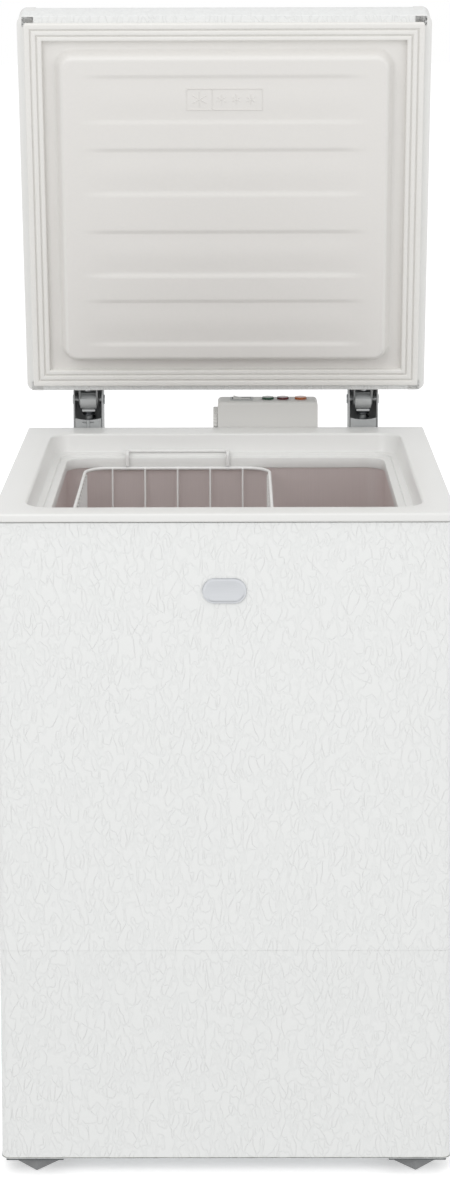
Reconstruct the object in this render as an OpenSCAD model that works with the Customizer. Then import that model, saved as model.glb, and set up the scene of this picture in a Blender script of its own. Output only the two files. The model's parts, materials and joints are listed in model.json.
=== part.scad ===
// Chest freezer with a top-hinged lid, sprung hinges, a rear control box and a hanging wire basket.
// Millimetres, +Z up. The origin is on the floor under the middle of the object, and the front faces -Y.

/* [Cabinet] */
// Width across the top frame
frame_w = 545; // [520:5:620]
// Depth of the top frame, front to back
frame_d = 530; // [500:5:580]
// Height of the top frame above the floor
frame_h = 808; // [760:4:900]
// Thickness of the painted sheet
sheet_t = 0.8; // [0.6:0.1:1]
// Height of the feet below the cabinet
feet_h = 20; // [16:1:24]

/* [Storage well] */
// Width of the top frame's flat land at the sides
land_side = 37; // [34:1:42]
// Width of the land at the front
land_front = 38; // [34:1:42]
// Width of the land at the back
land_back = 46.5; // [42:0.5:50]
// Height of the well's main floor above the ground
floor_h = 82; // [78:2:100]
// Height of the step over the compressor
step_h = 290; // [285:5:320]

/* [Lid] */
// Angle at which the lid stands open
lid_open = 78; // [0:1:80]
// Height of the lid's outer shell
lid_h = 53; // [48:1:60]
// Height of the seal between lid and frame
seal_h = 8; // [7:0.5:9]
// Drop of the inner panel's raised middle
pillow_h = 20; // [12:1:20]

/* [Hinges] */
// Distance of each hinge from the middle
hinge_x = 190; // [170:5:200]
// Height of the hinge axis above the top frame
hinge_rise = 35; // [34:0.5:36]
// Distance of the hinge axis behind the top frame
hinge_back = 22.5; // [22:0.5:23]
// Travel of the spring plunger for one radian of lid turn
cam_rate = 6; // [4:0.5:6]

/* [Basket] */
// Width of the basket
basket_w = 248; // [220:2:250]
// Height of the basket below its rim wire
basket_h = 220; // [160:5:230]
// Pitch of the wires that are seen from the front
wire_pitch = 44; // [36:2:48]

/* [Hidden] */
$fa = 6;
$fs = 0.6;

eps = 0.01;
fit = 0.05;
gap = 0.3;
overcut = 5;

// Outside faces
hinge_depth = 45;
frame_x = frame_w / 2;
frame_y0 = -(frame_d + hinge_depth) / 2;
frame_y1 = frame_y0 + frame_d;
wrap_inset = 2.5;
wrap_x = frame_x - wrap_inset;
wrap_y0 = frame_y0 + wrap_inset;
wrap_y1 = frame_y1 - wrap_inset;
wrap_r = 11;
rim_h = 10;
seam_h = 1.2;
wrap_top = frame_h - rim_h - seam_h;
hem_w = 12;
pan_z = feet_h + sheet_t;
foam_z0 = pan_z + 1;
foam_x = wrap_x - sheet_t - 0.1;
foam_y0 = wrap_y0 + sheet_t + 0.1;
back_y = wrap_y1 - 2 * sheet_t;
foam_y1 = back_y - 0.1;

// Stepped opening of the top frame, from the land down
draft = 4;
ledge_w = 8.6;
step_w = 9.4;
ledge_z = frame_h - 24.6;
lower_ledge_z = ledge_z - 4;
frame_bottom = frame_h - 43;
mouth_x = frame_x - land_side;
mouth_y0 = frame_y0 + land_front;
mouth_y1 = frame_y1 - land_back;
mouth_r = 30;
mid_in = draft + ledge_w;
low_in = mid_in + step_w;
frame_t = 3;

// Storage well
well_x = mouth_x - low_in + 1.5;
well_y0 = mouth_y0 + low_in - 1.5;
well_y1 = mouth_y1 - low_in + 1.5;
well_r = 28;
well_t = 0.8;
well_top = lower_ledge_z - frame_t;
step_x = 48;

// Compressor room at the back on the right
room_x = 92;
room_y = -20;
room_z = 246;
room_t = 1;
comp_x = 180;
comp_y = 110;
comp_z0 = 45;
comp_h = 160;
comp_r = 72;
mount_dx = 60;
mount_dy = 65;
tray_t = 2;
tray_z = foam_z0 + tray_t;
pipe_top = 215;
suction_dx = -25;
discharge_dx = 25;

// Tube wraps round the well and inside the outer sheet
evap_r = 4;
evap_x = well_x + well_t + evap_r + gap;
evap_y0 = well_y0 - well_t - evap_r - gap;
evap_y1 = 150;
evap_z = step_h + 30;
evap_pitch = 70;
evap_rows = 6;
cond_r = 2.4;
cond_x = foam_x - cond_r - gap;
cond_y0 = foam_y0 + cond_r + gap;
cond_y1 = 200;
cond_z = room_z + 24;
cond_pitch = 90;
cond_rows = 6;
return_y = cond_y1 + 15;
cap_r = 1.1;
cap_y = evap_y1 + 15;
drier_x = 250;
loom_x = 110;
loom_y = 225;
loom_r = 4;
loom_z = frame_bottom - 10;

// Lid, in its closed position
pivot_y = frame_y1 + hinge_back;
pivot_z = frame_h + hinge_rise;
lid_x = frame_x;
lid_y0 = frame_y0;
lid_y1 = frame_y1 - 1.5;
seal_z = frame_h + gap;
lid_z0 = seal_z + seal_h;
lid_z1 = lid_z0 + lid_h;
lid_r = 11;
lid_fold = 6;
cap_w = 9.5;
skin_x = lid_x - cap_w;
hem_lid = 14;
flange_t = 2;
pillow_x = 224;
pillow_y0 = mouth_y0 + 6.5;
pillow_y1 = mouth_y1 - 6.5;
pillow_r = 24;
pillow_draft = 8;
seal_out = 9.5;
seal_w = 23;

// Hinges
hood_r = 22;
hood_open = 14;
housing_half = 20.25;
plate_t = 1.5;
pin_r = 4;
arm_half = 13;
arm_t = 2;
cam_half = arm_half - arm_t;
cam_r0 = 12;
lid_gap_y = pivot_y - lid_y1;
follower_gap = 0.2;
housing_z0 = frame_h - 108;
shelf_z = housing_z0 + 16;
plunger_z = pivot_z - cam_r0 - follower_gap;
plunger_t = 3;
stem_r = 4.5;
stem_len = 90;
spring_r = 8;
spring_wire = 1.25;
spring_turns = 10;
spring_sides = 6;
ear_w = 15;
ear_top = frame_h - 18;
screw_r = 2;
screw_head_r = 4.5;
screw_head_h = 2;

// Control box
box_x0 = -11;
box_x1 = 127;
box_y1 = frame_y1 + hinge_depth;
box_z0 = frame_h - 66;
box_z1 = pivot_z;
box_t = 2.5;
box_front = frame_y1 + 0.5;
rocker_x = 22;
rocker_y = 266;
rocker_half = 12;
rocker_tilt = 8;
lamp_y = 266;
lamp_r = 8.3;
lamp_xs = [58.6, 79.3, 103.9];
knob_r = 20;
knob_y = pivot_y;
knob_z = frame_h + 4;
knob_t = 6;
shaft_r = 3;

// Basket
rim_r = 2.25;
basket_x = -65;
basket_hw = basket_w / 2;
basket_y0 = well_y0 + 5;
basket_y1 = well_y1 - 5;
basket_hd = (basket_y1 - basket_y0) / 2;
basket_yc = (basket_y0 + basket_y1) / 2;
basket_z = frame_bottom + 0.5;
basket_r = 30;
wire_r = 1.25;
loop_r = 1.5;
wire_bend = 12;
joint = 0.03;
front_wires = 5;
side_wires = 15;
side_pitch = 22;
handle_half = 68;
handle_r = 2.5;
handle_out = 15;
handle_z = ledge_z + gap + handle_r;
eye_r = 3.2;
eye_w = 7;

white = [0.93, 0.93, 0.92];
warm_white = [0.87, 0.86, 0.83];
sheet_grey = [0.62, 0.62, 0.63];
mid_grey = [0.5, 0.51, 0.52];
dark_grey = [0.3, 0.31, 0.32];
copper = [0.72, 0.43, 0.28];
black = [0.08, 0.08, 0.09];
foam_yellow = [0.9, 0.82, 0.6];

// ---- Shared shapes ----

// Box between two corners, given as ranges along each axis.
module block(x, y, z) {
    translate([x[0], y[0], z[0]])
        cube([x[1] - x[0], y[1] - y[0], z[1] - z[0]]);
}

// Rectangle with round corners.
module round_rect(w, d, r) {
    square([w - 2 * r, d], center = true);
    square([w, d - 2 * r], center = true);
    for (sx = [-1, 1], sy = [-1, 1])
        translate([sx * (w / 2 - r), sy * (d / 2 - r)])
            circle(r);
}

// Box with round upright edges.
module round_block(x, y, z, r) {
    translate([(x[0] + x[1]) / 2, (y[0] + y[1]) / 2, z[0]])
        linear_extrude(z[1] - z[0])
            round_rect(x[1] - x[0], y[1] - y[0], r);
}

// Plan of a body with two round front corners and a square back.
module front_rounded(half, y0, y1, r) {
    translate([-half, y0 + r])
        square([2 * half, y1 - y0 - r]);
    translate([-(half - r), y0])
        square([2 * (half - r), r + eps]);
    for (s = [-1, 1])
        translate([s * (half - r), y0 + r])
            circle(r);
}

module front_rounded_block(half, y0, y1, z, r) {
    translate([0, 0, z[0]])
        linear_extrude(z[1] - z[0])
            front_rounded(half, y0, y1, r);
}

// Box with round upright edges whose four sides lean in towards the bottom.
module tapered_block(x, y, z, r, lean) {
    h = z[1] - z[0];
    for (cx = [x[0] + r, x[1] - r], cy = [y[0] + r, y[1] - r])
        translate([cx, cy, z[0]])
            cylinder(h = h, r1 = r - lean, r2 = r);
    translate([0, y[1] - r, z[0]])
        rotate([90, 0, 0])
            linear_extrude(y[1] - y[0] - 2 * r)
                polygon([[x[0] + lean, 0], [x[1] - lean, 0], [x[1], h], [x[0], h]]);
    translate([x[0] + r, 0, z[0]])
        rotate([90, 0, 90])
            linear_extrude(x[1] - x[0] - 2 * r)
                polygon([[y[0] + lean, 0], [y[1] - lean, 0], [y[1], h], [y[0], h]]);
}

// Straight round bar between two points.
module rod(a, b, r) {
    v = b - a;
    span = norm(v);
    translate(a)
        rotate([0, acos(v[2] / span), atan2(v[1], v[0])])
            cylinder(h = span, r = r);
}

// Round bar through a list of points.
module pipe_run(points, r) {
    for (i = [0:len(points) - 2])
        rod(points[i], points[i + 1], r);
    for (i = [1:len(points) - 2])
        translate(points[i])
            sphere(r);
}

// Cylinder along Y, used for screws and their holes.
module y_rod(x, z, y, r) {
    translate([x, y[0], z])
        rotate([-90, 0, 0])
            cylinder(h = y[1] - y[0], r = r);
}

// Cylinder along X.
module x_rod(x, y, z, r) {
    translate([x[0], y, z])
        rotate([0, 90, 0])
            cylinder(h = x[1] - x[0], r = r);
}

// Profile drawn in Y and Z, pushed along X.
module along_x(x) {
    translate([x[0], 0, 0])
        rotate([90, 0, 90])
            linear_extrude(x[1] - x[0])
                children();
}

// Profile drawn in X and Z, pushed along Y.
module along_y(y) {
    translate([0, y[1], 0])
        rotate([90, 0, 0])
            linear_extrude(y[1] - y[0])
                children();
}

// Screw whose head sits on a face that looks along +Y.
module back_screw(x, z, face_y, depth) {
    y_rod(x, z, [face_y, face_y + screw_head_h], screw_head_r);
    y_rod(x, z, [face_y - depth, face_y + eps], screw_r);
}

// One turn of tube round the front and both sides.
module u_turn(half, y0, y1, bend, r) {
    for (s = [-1, 1])
        rod([s * half, y1, 0], [s * half, y0 + bend, 0], r);
    rod([-(half - bend), y0, 0], [half - bend, y0, 0], r);
    translate([half - bend, y0 + bend, 0])
        rotate(-90)
            rotate_extrude(angle = 90)
                translate([bend, 0])
                    circle(r);
    translate([-(half - bend), y0 + bend, 0])
        rotate(180)
            rotate_extrude(angle = 90)
                translate([bend, 0])
                    circle(r);
}

// Tube that runs back and forth round three sides, joined by risers at the back.
module u_coil(half, y0, y1, bend, z0, pitch, rows, r) {
    for (i = [0:rows - 1])
        translate([0, 0, z0 + i * pitch])
            u_turn(half, y0, y1, bend, r);
    for (i = [0:rows - 2]) {
        s = (i % 2 == 0) ? -1 : 1;
        rod([s * half, y1, z0 + i * pitch], [s * half, y1, z0 + (i + 1) * pitch], r);
        for (k = [0, 1])
            translate([s * half, y1, z0 + (i + k) * pitch])
                sphere(r);
    }
}

// Square grooves in the foam that hold such a tube.
module u_groove(half, y0, y1, bend, z0, pitch, rows, g) {
    for (i = [0:rows - 1])
        translate([0, 0, z0 + i * pitch - g])
            linear_extrude(2 * g)
                difference() {
                    front_rounded(half + g, y0 - g, y1 + g, bend + g);
                    front_rounded(half - g, y0 + g, y1 + g + overcut, bend - g);
                }
    for (i = [0:rows - 2]) {
        s = (i % 2 == 0) ? -1 : 1;
        block([s * half - g, s * half + g], [y1 - g, y1 + g], [z0 + i * pitch, z0 + (i + 1) * pitch]);
    }
}

// Places what is drawn for the closed lid at its standing-open angle.
module opened() {
    translate([0, pivot_y, pivot_z])
        rotate([-lid_open, 0, 0])
            translate([0, -pivot_y, -pivot_z])
                children();
}

// ---- Cabinet ----

// Front and both sides in one folded sheet, with a hem under it and flanges at the back.
module cabinet_wrap() {
    color(white)
        difference() {
            union() {
                difference() {
                    front_rounded_block(wrap_x, wrap_y0, wrap_y1, [feet_h, wrap_top], wrap_r);
                    front_rounded_block(wrap_x - sheet_t, wrap_y0 + sheet_t, wrap_y1 + overcut,
                        [feet_h - 1, wrap_top + 1], wrap_r - sheet_t);
                }
                difference() {
                    front_rounded_block(wrap_x - eps, wrap_y0 + eps, wrap_y1, [feet_h, pan_z], wrap_r);
                    front_rounded_block(wrap_x - hem_w, wrap_y0 + hem_w, wrap_y1 + overcut,
                        [feet_h - 1, pan_z + 1], wrap_r / 2);
                }
                for (s = [-1, 1])
                    block([s * (wrap_x - 7.5) - 7.5, s * (wrap_x - 7.5) + 7.5],
                        [wrap_y1 - sheet_t, wrap_y1], [feet_h, wrap_top]);
            }
            cover_screw_holes();
        }
}

// Rear sheet with an opening into the compressor room.
module back_panel() {
    color(sheet_grey)
        difference() {
            block([-foam_x, foam_x], [back_y, back_y + sheet_t], [foam_z0, wrap_top]);
            block([room_x + 11, room_x + 163], [back_y - 1, back_y + 2], [foam_z0 - 1, room_z - 16]);
            y_rod(loom_x, loom_z, [back_y - 1, back_y + 2], loom_r + 1);
            y_rod(bulb_x, bulb_entry_z, [back_y - 1, back_y + 2], 2);
            cover_screw_holes();
            hinge_screw_holes();
            control_screw_holes();
        }
}

// Floor sheet of the cabinet, cut away under the compressor tray.
module base_pan() {
    color(sheet_grey)
        difference() {
            front_rounded_block(foam_x, foam_y0, foam_y1, [pan_z, foam_z0], wrap_r - 1);
            block([room_x + 11, foam_x - 10], [room_y + 11, foam_y1 - 10], [pan_z - 1, foam_z0 + 1]);
            translate([drain_x, drain_y, pan_z - 1])
                cylinder(h = 3, r = drain_r + fit);
        }
}

// The opening through the top frame, with two ledges.
module frame_mouth() {
    tapered_block([-mouth_x, mouth_x], [mouth_y0, mouth_y1], [ledge_z, frame_h], mouth_r, draft);
    round_block([-mouth_x, mouth_x], [mouth_y0, mouth_y1], [frame_h - eps, frame_h + 1], mouth_r);
    round_block([mid_in - mouth_x, mouth_x - mid_in], [mouth_y0 + mid_in, mouth_y1 - mid_in],
        [lower_ledge_z, ledge_z + eps], mouth_r - 4);
    round_block([low_in - mouth_x, mouth_x - low_in], [mouth_y0 + low_in, mouth_y1 - low_in],
        [frame_bottom - 1, lower_ledge_z + eps], well_r - 1.5);
}

// Hollow underside of the top frame, filled by the foam.
module frame_hollow() {
    difference() {
        front_rounded_block(foam_x - frame_t, foam_y0 + frame_t, foam_y1 - frame_t,
            [frame_bottom, frame_h - frame_t], wrap_r - 3);
        round_block([-mouth_x - frame_t, mouth_x + frame_t], [mouth_y0 - frame_t, mouth_y1 + frame_t],
            [ledge_z - frame_t, frame_h], mouth_r + frame_t);
        round_block([mid_in - mouth_x - frame_t, mouth_x - mid_in + frame_t],
            [mouth_y0 + mid_in - frame_t, mouth_y1 - mid_in + frame_t],
            [well_top, ledge_z], mouth_r - 1);
        round_block([low_in - mouth_x - 1.4, mouth_x - low_in + 1.4],
            [mouth_y0 + low_in - 1.4, mouth_y1 - low_in + 1.4],
            [frame_bottom - 1, lower_ledge_z], well_r - 0.1);
    }
}

// Moulded frame that closes the top edge of the cabinet round the well.
module top_frame() {
    color(white)
        difference() {
            union() {
                front_rounded_block(frame_x, frame_y0, frame_y1, [frame_h - rim_h, frame_h], 14);
                front_rounded_block(foam_x, foam_y0, foam_y1, [frame_bottom, frame_h - rim_h + eps],
                    wrap_r - 1);
            }
            frame_mouth();
            frame_hollow();
            hinge_screw_holes();
            control_screw_holes();
        }
}

// Outside of the stepped well, t thick outside its inner face.
module well_body(t, top) {
    round_block([-well_x - t, well_x + t], [well_y0 - t, well_y1 + t], [step_h - t, top], well_r + t);
    round_block([-well_x - t, step_x + t], [well_y0 - t, well_y1 + t], [floor_h - t, step_h + 1],
        well_r + t);
}

// Embossed aluminium tub with a raised step over the compressor.
module liner() {
    color(sheet_grey)
        difference() {
            well_body(well_t, well_top);
            well_body(0, well_top + 1);
            translate([drain_x, drain_y, floor_h - 2])
                cylinder(h = 4, r = drain_r + fit);
        }
}

// Rigid foam between the tub and the outer sheets.
module cabinet_foam() {
    color(foam_yellow)
        difference() {
            union() {
                front_rounded_block(foam_x, foam_y0, foam_y1, [foam_z0, frame_bottom], wrap_r - 1);
                frame_hollow();
            }
            well_body(well_t, well_top + eps);
            block([room_x, frame_x], [room_y - room_t, wrap_y1], [foam_z0 - 1, room_z]);
            u_groove(evap_x, evap_y0, evap_y1, evap_bend, evap_z, evap_pitch, evap_rows, evap_r + 0.6);
            u_groove(cond_x, cond_y0, cond_y1, cond_bend, cond_z, cond_pitch, cond_rows, cond_r + 0.6);
            foam_ducts();
            translate([drain_x, drain_y, foam_z0 - 1])
                cylinder(h = floor_h, r = drain_r + fit);
            hinge_screw_holes();
            control_screw_holes();
        }
}

// Upright and level ducts through the foam for tubes, the loom and the temperature sensor.
module foam_ducts() {
    e = evap_r + 0.6;
    c = cond_r + 0.6;
    k = cap_r + 0.6;
    top_row = evap_z + (evap_rows - 1) * evap_pitch;
    cond_top = cond_z + (cond_rows - 1) * cond_pitch;
    block([evap_x - e, evap_x + e], [evap_y1 - e, evap_y1 + e], [room_z - 1, evap_z + e]);
    block([evap_x - k, evap_x + k], [cap_y - k, cap_y + k], [room_z - 1, top_row + k]);
    block([evap_x - k, evap_x + k], [evap_y1, cap_y + k], [top_row - k, top_row + k]);
    block([cond_x - c, cond_x + c], [cond_y1 - c, cond_y1 + c], [room_z - 1, cond_z + c]);
    block([cond_x - c, cond_x + c], [return_y - c, return_y + c], [room_z - 1, cond_top + c]);
    block([cond_x - c, cond_x + c], [cond_y1 - c, return_y + c], [cond_top - c, cond_top + c]);
    block([loom_x - 5, loom_x + 5], [loom_y - 5, loom_y + 5], [room_z - 1, loom_z + 5]);
    block([loom_x - 5, loom_x + 5], [loom_y, back_y], [loom_z - 5, loom_z + 5]);
    block([bulb_x - 5, bulb_x + 5], [bulb_y - 5, bulb_y + 5], [bulb_z0 - 1, bulb_z1 + 1]);
    block([bulb_x - 2, bulb_x + 2], [bulb_y - 2, bulb_y + 2], [bulb_z1, bulb_entry_z + 2]);
    block([bulb_x - 2, bulb_x + 2], [bulb_y, back_y], [bulb_entry_z - 2, bulb_entry_z + 2]);
}

// Folded sheet that walls off the compressor room.
module bulkhead() {
    color(sheet_grey)
        difference() {
            block([room_x, foam_x], [room_y - room_t, foam_y1], [foam_z0, room_z]);
            block([room_x + room_t, foam_x + 1], [room_y, foam_y1 + 1], [foam_z0 - 1, room_z - room_t]);
            translate([evap_x, evap_y1, room_z - 3])
                cylinder(h = 5, r = evap_r + 1);
            translate([evap_x, cap_y, room_z - 3])
                cylinder(h = 5, r = cap_r + 1);
            translate([cond_x, cond_y1, room_z - 3])
                cylinder(h = 5, r = cond_r + 1);
            translate([cond_x, return_y, room_z - 3])
                cylinder(h = 5, r = cond_r + 1);
            translate([loom_x, loom_y, room_z - 3])
                cylinder(h = 5, r = loom_r + 1);
        }
}

// Cold tube wrapped round the outside of the tub.
evap_bend = well_r + well_t + gap + evap_r;
module evaporator_coil() {
    color(sheet_grey) {
        u_coil(evap_x, evap_y0, evap_y1, evap_bend, evap_z, evap_pitch, evap_rows, evap_r);
        pipe_run([[evap_x, evap_y1 - 10, evap_z], [evap_x, evap_y1, evap_z],
            [evap_x, evap_y1, room_z - 6]], evap_r);
    }
}

// Warm tube against the outer sheet, with its way down to the filter.
cond_bend = 30;
module condenser_coil() {
    top = cond_z + (cond_rows - 1) * cond_pitch;
    color(copper) {
        u_coil(cond_x, cond_y0, cond_y1, cond_bend, cond_z, cond_pitch, cond_rows, cond_r);
        pipe_run([[cond_x, cond_y1 - 10, cond_z], [cond_x, cond_y1, cond_z],
            [cond_x, cond_y1, room_z - 6]], cond_r);
        pipe_run([[cond_x, cond_y1 - 10, top], [cond_x, return_y, top], [cond_x, return_y, 200],
            [drier_x, return_y, 200], [drier_x, return_y, drier_z1]], cond_r);
    }
}

// ---- Base ----

plate_w = 69;
plate_in = 6;
plate_h = 3.5;
foot_in = 42;
foot_r = 30;

// Dark stiffening plates under the four corners.
module corner_plates() {
    color(dark_grey)
        for (sx = [-1, 1], y = [wrap_y0 + 4 + plate_w / 2, wrap_y1 - 4 - plate_w / 2])
            block([sx * (wrap_x - plate_in - plate_w / 2) - plate_w / 2,
                sx * (wrap_x - plate_in - plate_w / 2) + plate_w / 2],
                [y - plate_w / 2, y + plate_w / 2], [feet_h - plate_h, feet_h]);
}

// Moulded foot, square in plan and set cornerwise.
module foot(x, y) {
    color(mid_grey)
        translate([x, y, 0]) {
            cylinder(h = 3, r = foot_r - 4, $fn = 4);
            translate([0, 0, 3 - eps])
                cylinder(h = feet_h - plate_h - 3 + eps, r = foot_r, $fn = 4);
        }
}

foot_x = wrap_x - foot_in;
foot_y0 = wrap_y0 + 37;
foot_y1 = wrap_y1 - 37;
module foot_front_left() { foot(-foot_x, foot_y0); }
module foot_front_right() { foot(foot_x, foot_y0); }
module foot_rear_left() { foot(-foot_x, foot_y1); }
module foot_rear_right() { foot(foot_x, foot_y1); }

// Plain pill-shaped plate on the front.
module front_badge() {
    color(sheet_grey)
        along_y([wrap_y0 - 2, wrap_y0])
            translate([0, 0.886 * frame_h])
                round_rect(52, 30, 14.9);
}

// ---- Compressor room ----

module at_mounts() {
    for (sx = [-1, 1], sy = [-1, 1])
        translate([comp_x + sx * mount_dx, comp_y + sy * mount_dy, 0])
            children();
}

module compressor_tray() {
    color(sheet_grey) {
        block([room_x + room_t + 0.2, foam_x - 0.2], [20, foam_y1 - 2], [foam_z0, tray_z]);
        for (y = [20, foam_y1 - 4])
            block([room_x + room_t + 0.2, foam_x - 0.2], [y, y + 2], [tray_z - eps, tray_z + 8]);
    }
}

// Welded shell with its base plate and three stub tubes.
module compressor_shell() {
    color(black) {
        translate([comp_x, comp_y, comp_z0])
            rotate_extrude()
                intersection() {
                    translate([0, comp_h / 2])
                        round_rect(2 * comp_r, comp_h, 40);
                    square([comp_r + 1, comp_h]);
                }
        translate([comp_x, comp_y, comp_z0 + 72])
            cylinder(h = 4, r = comp_r + 2.5);
        translate([comp_x + suction_dx, comp_y, comp_z0 + comp_h - 1])
            cylinder(h = pipe_top - comp_z0 - comp_h + 1, r = 4.5);
        translate([comp_x + discharge_dx, comp_y, comp_z0 + comp_h - 1])
            cylinder(h = pipe_top - comp_z0 - comp_h + 1, r = 3.2);
        translate([comp_x, comp_y - 25, comp_z0 + comp_h - 1])
            cylinder(h = 18, r = 3.2);
        difference() {
            round_block([comp_x - 76, comp_x + 76], [comp_y - 80, comp_y + 80],
                [comp_z0 - 3, comp_z0 + eps], 14);
            at_mounts()
                translate([0, 0, comp_z0 - 5])
                    cylinder(h = 8, r = 4.2);
        }
    }
}

module compressor_grommets() {
    color(black)
        at_mounts()
            translate([0, 0, tray_z])
                difference() {
                    cylinder(h = comp_z0 - 3 - tray_z, r = 12);
                    translate([0, 0, -1])
                        cylinder(h = comp_z0, r = 4.2);
                }
}

module compressor_bolts() {
    color(mid_grey)
        at_mounts() {
            translate([0, 0, tray_z])
                cylinder(h = comp_z0 - tray_z + eps, r = 3);
            translate([0, 0, comp_z0])
                cylinder(h = 5, r = 6.5, $fn = 6);
        }
}

// Snap-on cover over the compressor's terminals.
module terminal_cover() {
    color(black)
        difference() {
            block([comp_x - 30, comp_x + 30], [24, 60], [70, 150]);
            block([comp_x - 28, comp_x + 28], [26, 61], [72, 148]);
            translate([comp_x, comp_y, 60])
                cylinder(h = 100, r = comp_r + 3);
        }
}

module start_relay() {
    color(dark_grey)
        block([comp_x - 20, comp_x + 20], [26, 33], [85, 135]);
}

// Copper filter between the warm tube and the capillary.
drier_z0 = 90;
drier_z1 = 190;
module filter_drier() {
    color(copper)
        translate([drier_x, return_y, drier_z0]) {
            cylinder(h = 12 + eps, r1 = 3, r2 = 8);
            translate([0, 0, 12])
                cylinder(h = drier_z1 - drier_z0 - 24, r = 8);
            translate([0, 0, drier_z1 - drier_z0 - 12 - eps])
                cylinder(h = 12 + eps, r1 = 8, r2 = 3);
        }
}

module capillary_tube() {
    top = evap_z + (evap_rows - 1) * evap_pitch;
    color(copper)
        pipe_run([[drier_x, return_y, drier_z0], [drier_x, return_y, 72], [234, return_y, 72],
            [234, return_y, 236], [234, cap_y, 236], [evap_x, cap_y, 236], [evap_x, cap_y, top],
            [evap_x, evap_y1, top]], cap_r);
}

module suction_pipe() {
    x = comp_x + suction_dx;
    color(copper)
        pipe_run([[evap_x, evap_y1, room_z - 6], [evap_x, evap_y1, 226], [x, evap_y1, 226],
            [x, comp_y, 226], [x, comp_y, pipe_top]], evap_r);
}

module discharge_pipe() {
    x = comp_x + discharge_dx;
    color(copper)
        pipe_run([[x, comp_y, pipe_top], [x, comp_y, 232], [cond_x, comp_y, 232],
            [cond_x, cond_y1, 232], [cond_x, cond_y1, room_z - 6]], cond_r);
}

// Louvred sheet over the compressor room's rear opening.
cover_x0 = 90;
cover_x1 = 268;
cover_z0 = 24;
cover_z1 = 244;
cover_t = 2.2;
gland_x = 118;
gland_z = 52;
module at_cover_corners() {
    for (x = [cover_x0 + 6, cover_x1 - 6], z = [cover_z0 + 6, cover_z1 - 8])
        translate([x, 0, z])
            children();
}
module cover_screw_holes() {
    at_cover_corners()
        y_rod(0, 0, [wrap_y1 - 4, wrap_y1 + 4], screw_r + fit);
}
module rear_cover() {
    color(sheet_grey)
        difference() {
            round_cover();
            for (z = [86:12:216], x = [cover_x0 + 20, cover_x0 + 98])
                block([x, x + 60], [wrap_y1 - 1, wrap_y1 + 4], [z, z + 5]);
            y_rod(gland_x, gland_z, [wrap_y1 - 1, wrap_y1 + 4], 9);
            cover_screw_holes();
        }
}
module round_cover() {
    along_y([wrap_y1, wrap_y1 + cover_t])
        translate([(cover_x0 + cover_x1) / 2, (cover_z0 + cover_z1) / 2])
            round_rect(cover_x1 - cover_x0, cover_z1 - cover_z0, 5);
}

module cover_screws() {
    color(mid_grey)
        at_cover_corners()
            back_screw(0, 0, wrap_y1 + cover_t, 5.5);
}

// Rubber bush where the mains lead goes in.
module cord_gland() {
    color(black)
        difference() {
            union() {
                y_rod(gland_x, gland_z, [wrap_y1 - 5, wrap_y1 + cover_t], 9 - fit);
                y_rod(gland_x, gland_z, [wrap_y1 + cover_t, wrap_y1 + cover_t + 9], 12);
            }
            y_rod(gland_x, gland_z, [wrap_y1 - 6, wrap_y1 + 20], 4.2);
        }
}

// Lead from the terminals up through the foam to the control box.
module wiring_loom() {
    color(black)
        pipe_run([[190, 30, 150], [190, 30, 236], [loom_x, 30, 236], [loom_x, loom_y, 236],
            [loom_x, loom_y, loom_z], [loom_x, box_front + 8, loom_z]], loom_r);
}

// ---- Drain ----

drain_x = -150;
drain_y = -190;
drain_r = 9;

module drain_tube() {
    color(white)
        translate([drain_x, drain_y, 0])
            difference() {
                translate([0, 0, 14])
                    cylinder(h = floor_h - 14, r = drain_r);
                translate([0, 0, 13])
                    cylinder(h = floor_h, r = drain_r - 2);
            }
}

module drain_plug() {
    color(white)
        translate([drain_x, drain_y, 0]) {
            translate([0, 0, floor_h - 10])
                cylinder(h = 10 + eps, r = drain_r - 2 - fit);
            translate([0, 0, floor_h])
                cylinder(h = 5, r = 13);
        }
}

module drain_cap() {
    color(white)
        translate([drain_x, drain_y, 0])
            difference() {
                translate([0, 0, 10.5])
                    cylinder(h = 8.5, r = drain_r + 2.5);
                translate([0, 0, 14])
                    cylinder(h = 8, r = drain_r + fit);
            }
}

// ---- Control box behind the top frame ----

flange_y = wrap_y1 - sheet_t;
ear_t = 1.5;
control_zs = [box_z0 + 12, box_z0 + 38];
control_xs = [box_x0 - 7, box_x1 + 7];

module control_screw_holes() {
    for (x = control_xs, z = control_zs)
        y_rod(x, z, [flange_y - 12, flange_y + 3], screw_r + fit);
}

// Shell of the box, open towards the cabinet.
module control_housing() {
    color(mid_grey)
        difference() {
            union() {
                block([box_x0, box_x1], [flange_y, box_front + eps], [box_z0, wrap_top - 1]);
                block([box_x0, box_x1], [box_front, box_y1 - 6], [box_z0, box_z1]);
                block([box_x0 + 6, box_x1 - 6], [box_y1 - 6 - eps, box_y1], [box_z0, box_z1]);
                for (x = [box_x0 + 6, box_x1 - 6])
                    translate([x, box_y1 - 6, box_z0])
                        cylinder(h = box_z1 - box_z0, r = 6);
                block([box_x0 - 14, box_x1 + 14], [flange_y, flange_y + ear_t], [box_z0, box_z0 + 50]);
            }
            block([box_x0 + box_t, box_x1 - box_t], [flange_y - 1, box_y1 - box_t],
                [box_z0 + box_t, wrap_top - 1 - box_t]);
            block([box_x0 + box_t, box_x1 - box_t], [box_front + box_t, box_y1 - box_t],
                [box_z0 + box_t, box_z1 - box_t]);
            control_screw_holes();
            block([rocker_x - 14, rocker_x + 14], [rocker_y - 9.5, rocker_y + 9.5],
                [box_z1 - 5, box_z1 + 1]);
            for (x = lamp_xs)
                translate([x, lamp_y, box_z1 - 5])
                    cylinder(h = 8, r = lamp_r + fit);
            x_rod([box_x0 - 1, box_x0 + 4], knob_y, knob_z, shaft_r + gap);
        }
}

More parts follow.
